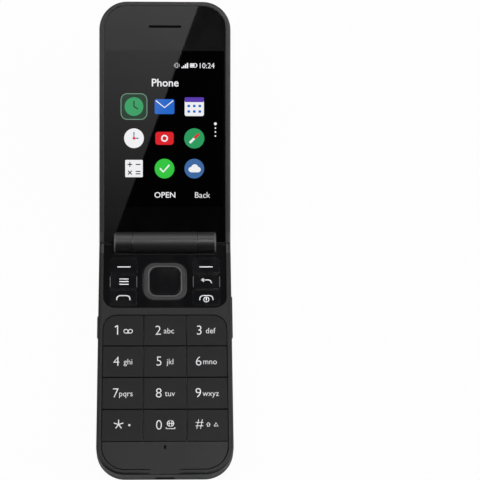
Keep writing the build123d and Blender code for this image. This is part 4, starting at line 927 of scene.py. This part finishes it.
# Reach of each row in millimetres, and for each key: digit, its x, letters and their x
KEY_ROWS = (
    (38.9, (
        ("key_1", "1", -19.3, "", 0.0),
        ("key_2", "2", -2.8, "abc", 1.6),
        ("key_3", "3", 14.0, "def", 18.5),
    )),
    (52.4, (
        ("key_4", "4", -19.6, "ghi", -14.9),
        ("key_5", "5", -2.4, "jkl", 2.1),
        ("key_6", "6", 13.6, "mno", 18.2),
    )),
    (66.1, (
        ("key_7", "7", -19.85, "pqrs", -15.7),
        ("key_8", "8", -2.5, "tuv", 2.0),
        ("key_9", "9", 13.4, "wxyz", 18.4),
    )),
    (79.7, (
        ("key_star", "", 0.0, "", 0.0),
        ("key_0", "0", -2.4, "", 0.0),
        ("key_hash", "#", 13.8, "", 0.0),
    )),
)
KEY_MARKS = {
    "key_1": (voicemail_mark, at(-15.0, 39.5)),
    "key_star": (star_mark, at(-18.5, 79.6)),
    "key_0": (globe_mark, at(2.2, 79.8)),
    "key_hash": (shift_mark, at(17.3, 79.8)),
}


def legend(key, reach, digit, digit_x, word, word_x):
    """Everything printed on one number key."""
    baseline = reach + DIGIT_HEIGHT / 2
    pieces = []
    if digit:
        foot = at(digit_x, baseline - (HASH_RISE if digit == "#" else 0))
        pieces.append(letters(digit, foot, DIGIT_EM, *INKED, DIGIT_SQUEEZE, DIGIT_WEIGHT))
    if word:
        foot = at(word_x, baseline - LETTER_RISE)
        pieces.append(letters(word, foot, LETTER_EM, *INKED, LETTER_SQUEEZE, LETTER_WEIGHT))
    if key in KEY_MARKS:
        draw, spot = KEY_MARKS[key]
        pieces += draw(spot)
    if digit == "1":
        flag = around(at(digit_x, reach - ONE_TOP), ((0, 0), ONE_FLAG))
        pieces.append(stroke(flag, FLAG_LINE, *INKED))
    lay_on_key(key, pieces, "_legend")


for reach, row in KEY_ROWS:
    for key, digit, digit_x, word, word_x in row:
        legend(key, reach, digit, digit_x, word, word_x)


# ---------------------------------------------------------------- marks of the function keys
# Places of the marks in millimetres, and the soft keys' bars
LEFT_X, RIGHT_X, CALL_X = -17.0, 17.0, -17.1
SOFT_REACH, BACK_REACH, CALL_REACH, POWER_REACH = 10.7, 17.3, 24.7, 25.4
MENU_X, MENU_REACH, MENU_PITCH = -16.9, 17.35, 1.2
SOFT_BAR = (5.5, 0.45)


def bar_mark(x, reach, width, height):
    """Short level bar."""
    return plate(at(x, reach), (width * MM, height * MM), 0.3 * height * MM, *INKED_NAV, steps=3)


def handset_mark(x, reach):
    """Flat-topped arch of a telephone handset."""
    left_foot, left_bend, right_bend, right_foot = around(
        at(x, reach), ((-2.7, -0.95), (-1.25, -0.4), (1.25, -0.4), (2.7, -0.95)))
    left = arc(left_bend, 1.45 * MM, 180, 90, 6)
    right = arc(right_bend, 1.45 * MM, 90, 0, 6)
    return stroke([left_foot] + left + right + [right_foot], MARK_LINE, *INKED_NAV)


def return_arrow(x, reach):
    """Arrow to the left whose tail bends down."""
    spot = at(x, reach)
    tail_end, tail_turn, bend = around(spot, ((-1.7, 0.7), (0.65, 0.7), (0.65, -0.8)))
    tail = [tail_end, tail_turn] + arc(bend, 1.5 * MM, 80, 0, 8)
    head = around(spot, ((-1.0, 1.45), (-2.0, 0.7), (-1.0, -0.05)))
    return [stroke(tail, MARK_LINE, *INKED_NAV), stroke(head, ARROW_HEAD_LINE, *INKED_NAV)]


def power_mark(x, reach):
    """Ring with a short bar in it."""
    size = (2.5 * MM, 2.5 * MM)
    ring = frame_line(at(x, reach), size, 1.24 * MM, POWER_LINE, *INKED_NAV)
    bar = plate(at(x, reach - 0.2), (0.5 * MM, 1.2 * MM), 0.1 * MM, *INKED_NAV, steps=2)
    return [ring, bar]


lay_on_key("left_soft_key", [bar_mark(LEFT_X, SOFT_REACH, *SOFT_BAR)], "_mark")
lay_on_key("right_soft_key", [bar_mark(RIGHT_X, SOFT_REACH, *SOFT_BAR)], "_mark")
menu_bars = [bar_mark(MENU_X, MENU_REACH + step * MENU_PITCH, 3.9, 0.42) for step in (-1, 0, 1)]
lay_on_key("menu_key", menu_bars, "_mark")
lay_on_key("back_key", return_arrow(RIGHT_X, BACK_REACH), "_mark")
lay_on_key("call_key", [handset_mark(CALL_X, CALL_REACH)], "_mark")
end_marks = [handset_mark(RIGHT_X, CALL_REACH)] + power_mark(RIGHT_X, POWER_REACH)
lay_on_key("end_key", end_marks, "_mark")

# Painted highlight: a thin pale band laid flush round the opening of the navigation ring, standing
# for the light caught by its inner edge
RING_HIGHLIGHT_FINISH = moulded_plastic("ring_highlight_painted", (0.05, 0.05, 0.052), (0.09, 0.09, 0.093), 0.25)
RING_HIGHLIGHT_MARGIN, RING_HIGHLIGHT_CORNER, RING_HIGHLIGHT_LINE = 1.9 * MM, 3.6 * MM, 0.4 * MM
select_low, select_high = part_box("select_key")
ring_highlight_size = [side + RING_HIGHLIGHT_MARGIN for side in (select_high - select_low).xy]
ring_highlight_middle = (select_low + select_high) / 2 - Vector((0, HINGE_Y, 0))
ring_highlight = frame_line(ring_highlight_middle, ring_highlight_size, RING_HIGHLIGHT_CORNER, RING_HIGHLIGHT_LINE, RING_FACE - SUNK, RING_FACE + INK)
place(ring_highlight, "nav_ring_painted_highlight", BODY_OF["nav_ring"], RING_HIGHLIGHT_FINISH, BASE_FACE)

# Fine ridges that part the middle function keys for the thumb, pale in colour as a painted
# highlight along the keys' edges
RIDGE_HIGHLIGHT_FINISH = moulded_plastic("key_ridge_painted_highlight", (0.06, 0.06, 0.063), (0.10, 0.10, 0.105), 0.25)
RIDGE_X, RIDGE_REACH, RIDGE_SIZE = (11.65, 22.55), 17.4, (0.28 * MM, 4.6 * MM)
RIDGE_LEVELS = (FUNCTION_KEY_FACE - SUNK, FUNCTION_KEY_FACE + 0.12 * MM)
for key, side in (("menu_key", -1), ("back_key", 1)):
    spots = [at(side * x, RIDGE_REACH) for x in RIDGE_X]
    ridges = [plate(spot, RIDGE_SIZE, 0.1 * MM, *RIDGE_LEVELS, steps=2) for spot in spots]
    lay_on_key(key, ridges, "_ridges", RIDGE_HIGHLIGHT_FINISH)

# Painted shadow: a thin near-black line laid on the chin along the step to the rim, standing for
# the shade of a gap there, broken by the thumb notch, in millimetres
GAP_SHADOW_FINISH = moulded_plastic(
    "gap_painted_shadow", (0.0006, 0.0006, 0.0006), (0.0015, 0.0015, 0.0015), 0.8, 1.1)
CHIN_SIDE, CHIN_START, CHIN_END, CHIN_CORNER, NOTCH_SIDE = 25.1, 87.1, 98.35, 9.4, 5.9
GAP_SHADOW_LINE = 0.42 * MM
gap_shadow_strokes = []
for side, first in ((-1, -180), (1, 0)):
    bend = at(side * (CHIN_SIDE - CHIN_CORNER), CHIN_END - CHIN_CORNER)
    turn = arc(bend, CHIN_CORNER * MM, first, -90, 12)
    points = [at(side * CHIN_SIDE, CHIN_START)] + turn + [at(side * NOTCH_SIDE, CHIN_END)]
    gap_shadow_strokes.append(stroke(points, GAP_SHADOW_LINE, CHIN_FACE - 2 * SUNK, CHIN_FACE + SUNK))
place(join(gap_shadow_strokes), "chin_gap_painted_shadow", "base", GAP_SHADOW_FINISH, BASE_FACE)

# Gauze in the microphone hole, whose near-black colour is partly painted shade of the hole
GAUZE_SIZE, GAUZE_DEPTH, GAUZE_THICKNESS = (0.86 * MM, 1.46 * MM), 0.5 * MM, 0.05 * MM
gauze_low = CHIN_FACE - GAUZE_DEPTH
gauze = plate(at(0, 89.1), GAUZE_SIZE, 0.1 * MM, gauze_low, gauze_low + GAUZE_THICKNESS, steps=2)
place(gauze, "microphone_gauze", "base", FINISH_OF_SLOT["mesh_metal"], BASE_FACE)

# ---------------------------------------------------------------- inner screen
GLOW_WHITE = lit_pixels("screen_white", (0.88, 0.88, 0.90))
GLOW_GREY = lit_pixels("screen_grey", (0.50, 0.50, 0.52))
GLOW_TILE = lit_pixels("screen_tile_green", (0.0, 0.028, 0.010))
GLOW_PALE = lit_pixels("screen_pale_green", (0.16, 0.30, 0.22))
GLOW_GREEN = lit_pixels("screen_green", (0.022, 0.33, 0.11))
GLOW_LIME = lit_pixels("screen_lime", (0.032, 0.56, 0.05))
GLOW_BLUE = lit_pixels("screen_blue", (0.013, 0.13, 0.58))
GLOW_SLATE = lit_pixels("screen_slate_blue", (0.045, 0.14, 0.36))
GLOW_RED = lit_pixels("screen_red", (0.72, 0.012, 0.02))
GLOW_VIOLET = lit_pixels("screen_violet", (0.10, 0.04, 0.42))
GLOW_DARK = lit_pixels("screen_dark", (0.002, 0.002, 0.003))
SCREEN_BLACK = gloss_plastic(
    "screen_black", (0.0002, 0.0002, 0.0002), (0.0004, 0.0004, 0.0004), 0.012, 0.012)

# All places and sizes on the screen are in millimetres, reach being counted from the hinge
CAPITAL_SHARE = 0.729        # height of a capital in one em
COLUMNS = (-12.9, -0.2, 12.2)
ROWS = (56.8, 43.6, 31.0)
STATUS_REACH, TITLE_REACH, LABEL_REACH = 74.0, 66.9, 20.1
SCROLL_X, SCROLL_DOTS = 21.0, ((49.7, 0.6), (47.9, 0.32), (46.3, 0.32), (44.6, 0.32))
CHOSEN_SIZE, CHOSEN_CORNER = (11.1, 11.0), 2.7


def layer(level, face=WINDOW_FACE):
    """Low and high level of one printed layer above a face."""
    return face - SUNK, face + (1 + level) * 0.6 * INK


def on_lid(x, reach):
    """Point of a face of the lid."""
    return Vector((x, reach)) * MM


def show(piece, name, finish, face=INSIDE_LID):
    """Lay a piece of a screen picture on the lid."""
    place(piece, name, "lid", finish, face)


def disc_at(x, reach, radius, level):
    """Round spot."""
    return button(on_lid(x, reach), radius * MM, *layer(level))


def tile_at(x, reach, width, height, corner, level):
    """Tile with rounded corners."""
    return plate(on_lid(x, reach), (width * MM, height * MM), corner * MM, *layer(level))


def edge_at(x, reach, width, height, corner, line):
    """Outline of a tile with rounded corners."""
    size = (width * MM, height * MM)
    return frame_line(on_lid(x, reach), size, corner * MM, line * MM, *layer(1))


def line_at(x, reach, points, width, level):
    """Line through points counted from a middle."""
    corners = [on_lid(x + across, reach + up) for across, up in points]
    return stroke(corners, width * MM, *layer(level))


def words_at(text, x, reach, height, squeeze, weight):
    """Words of a given capital height, centred on a point."""
    baseline = on_lid(x, reach - height / 2)
    return letters(text, baseline, height * MM / CAPITAL_SHARE, *layer(1), squeeze, weight)


def signal_bar(step):
    """One bar of the signal mark, each taller than the last."""
    x, reach = 7.1 + 0.75 * step, STATUS_REACH - 0.9 + 0.28 * step
    return tile_at(x, reach, 0.6, 0.5 + 0.56 * step, 0.08, 1)


show(tile_at(0, 47.6, 49.4, 65.0, 0.4, -0.6), "screen_area", SCREEN_BLACK)
show(words_at("Phone", 0, TITLE_REACH, 3.3, 1.0, 0.012), "screen_title", GLOW_WHITE)
show(words_at("OPEN", 0, LABEL_REACH, 2.4, 1.05, 0.01), "screen_middle_label", GLOW_WHITE)
show(words_at("Back", 15.5, LABEL_REACH, 2.5, 1.0, -0.004), "screen_right_label", GLOW_WHITE)
show(words_at("10:24", 17.3, STATUS_REACH, 2.3, 0.98, 0.0), "status_time", GLOW_WHITE)

charge = [
    edge_at(11.8, STATUS_REACH, 2.8, 1.8, 0.3, 0.25),
    tile_at(11.5, STATUS_REACH, 1.6, 1.0, 0.1, 1),
    tile_at(13.3, STATUS_REACH, 0.35, 0.8, 0.1, 1),
]
show(join(charge), "status_battery", GLOW_WHITE)
show(join([signal_bar(step) for step in range(4)]), "status_signal", GLOW_WHITE)
vibrate = [edge_at(4.9, STATUS_REACH, 1.1, 2.1, 0.25, 0.25)]
vibrate += [line_at(4.9, STATUS_REACH, ((x, -0.6), (x, 0.6)), 0.25, 1) for x in (-1.0, 1.0)]
show(join(vibrate), "status_vibrate", GLOW_GREY)
dots = [disc_at(SCROLL_X, reach, radius, 1) for reach, radius in SCROLL_DOTS]
show(join(dots), "scroll_dots", GLOW_WHITE)

# First row: call times, messages and calendar
x, reach = COLUMNS[0], ROWS[0]
show(tile_at(x, reach, *CHOSEN_SIZE, CHOSEN_CORNER, 0), "chosen_tile", GLOW_TILE)
show(edge_at(x, reach, *CHOSEN_SIZE, CHOSEN_CORNER, 0.32), "chosen_tile_outline", GLOW_PALE)
show(disc_at(x, reach, 3.9, 1), "call_times_disc", GLOW_GREEN)
show(line_at(x, reach, ((0, 2.4), (0, 0), (1.7, -1.0)), 0.75, 2), "call_times_hands", GLOW_TILE)

x = COLUMNS[1]
show(tile_at(x, reach, 8.2, 6.2, 0.7, 0), "messages_envelope", GLOW_BLUE)
show(line_at(x, reach, ((-3.6, 2.5), (0, -0.4), (3.6, 2.5)), 0.5, 1), "messages_flap", GLOW_WHITE)

x = COLUMNS[2]
show(tile_at(x, reach, 8.0, 7.8, 0.8, 0), "calendar_sheet", GLOW_WHITE)
show(tile_at(x, reach + 2.9, 8.0, 2.0, 0.5, 1), "calendar_band", GLOW_VIOLET)
spots = [(x + across, reach + up) for across in (-2.3, 0, 2.3) for up in (0.3, -2.0)]
show(join([tile_at(*spot, 1.1, 1.0, 0.2, 1) for spot in spots]), "calendar_days", GLOW_BLUE)

# Second row: clock, camera and compass
x, reach = COLUMNS[0], ROWS[1]
show(disc_at(x, reach, 4.1, 0), "clock_face", GLOW_WHITE)
show(line_at(x, reach, ((0, 2.6), (0, 0), (1.9, 0)), 0.6, 1), "clock_hands", GLOW_SLATE)
show(disc_at(x, reach, 0.6, 2), "clock_middle", GLOW_RED)

x = COLUMNS[1]
show(tile_at(x, reach, 7.6, 5.4, 1.2, 0), "camera_body", GLOW_RED)
show(edge_at(x, reach, 2.9, 2.9, 1.44, 0.6), "camera_ring", GLOW_WHITE)

x = COLUMNS[2]
show(disc_at(x, reach, 4.2, 0), "compass_disc", GLOW_GREEN)
show(line_at(x, reach, ((0, 0), (1.9, 1.9)), 1.1, 1), "compass_north", GLOW_RED)
show(line_at(x, reach, ((0, 0), (-1.9, -1.9)), 1.1, 1), "compass_south", GLOW_WHITE)

# Third row: calculator, done list and weather
x, reach = COLUMNS[0], ROWS[2]
left_x, right_x, upper, lower = x - 1.7, x + 1.7, reach + 1.7, reach - 1.7
level_line, upright_line = ((-1, 0), (1, 0)), ((0, -1), (0, 1))
falling_line, rising_line = ((-0.8, 0.8), (0.8, -0.8)), ((-0.8, -0.8), (0.8, 0.8))
signs = (
    (left_x, upper, level_line),
    (left_x, upper, upright_line),
    (right_x, upper, level_line),
    (right_x, lower - 0.5, level_line),
    (right_x, lower + 0.5, level_line),
    (left_x, lower, falling_line),
    (left_x, lower, rising_line),
)
show(tile_at(x, reach, 7.3, 7.2, 0.4, 0), "calculator_tile", GLOW_WHITE)
show(join([line_at(*sign, 0.5, 1) for sign in signs]), "calculator_signs", GLOW_DARK)

x = COLUMNS[1]
show(disc_at(x, reach, 4.1, 0), "done_disc", GLOW_LIME)
show(line_at(x, reach, ((-1.9, 0.1), (-0.5, -1.4), (2.0, 1.5)), 0.8, 1), "done_tick", GLOW_WHITE)

x = COLUMNS[2]
show(disc_at(x, reach, 4.1, 0), "weather_disc", GLOW_SLATE)
puffs = ((-1.3, -0.4, 1.1), (0.2, 0.3, 1.5), (1.6, -0.4, 1.1))
cloud = [disc_at(x + across, reach + up, radius, 1) for across, up, radius in puffs]
cloud.append(tile_at(x + 0.15, reach - 1.0, 3.6, 1.1, 0.4, 1))
show(join(cloud), "weather_cloud", GLOW_WHITE)

# ---------------------------------------------------------------- outer clock
CLOCK_LEVELS = layer(1, OUTER_WINDOW_FACE)
clock = letters("10:24", on_lid(0, -31.35), 8.8 * MM, *CLOCK_LEVELS, 1.03, 0.004)
show(clock, "outer_clock", GLOW_WHITE, OUTSIDE_LID)
date = letters("TUE 24.06", on_lid(0, -36.15), 2.3 * MM, *CLOCK_LEVELS, 1.1, 0.0)
show(date, "outer_date", GLOW_WHITE, OUTSIDE_LID)
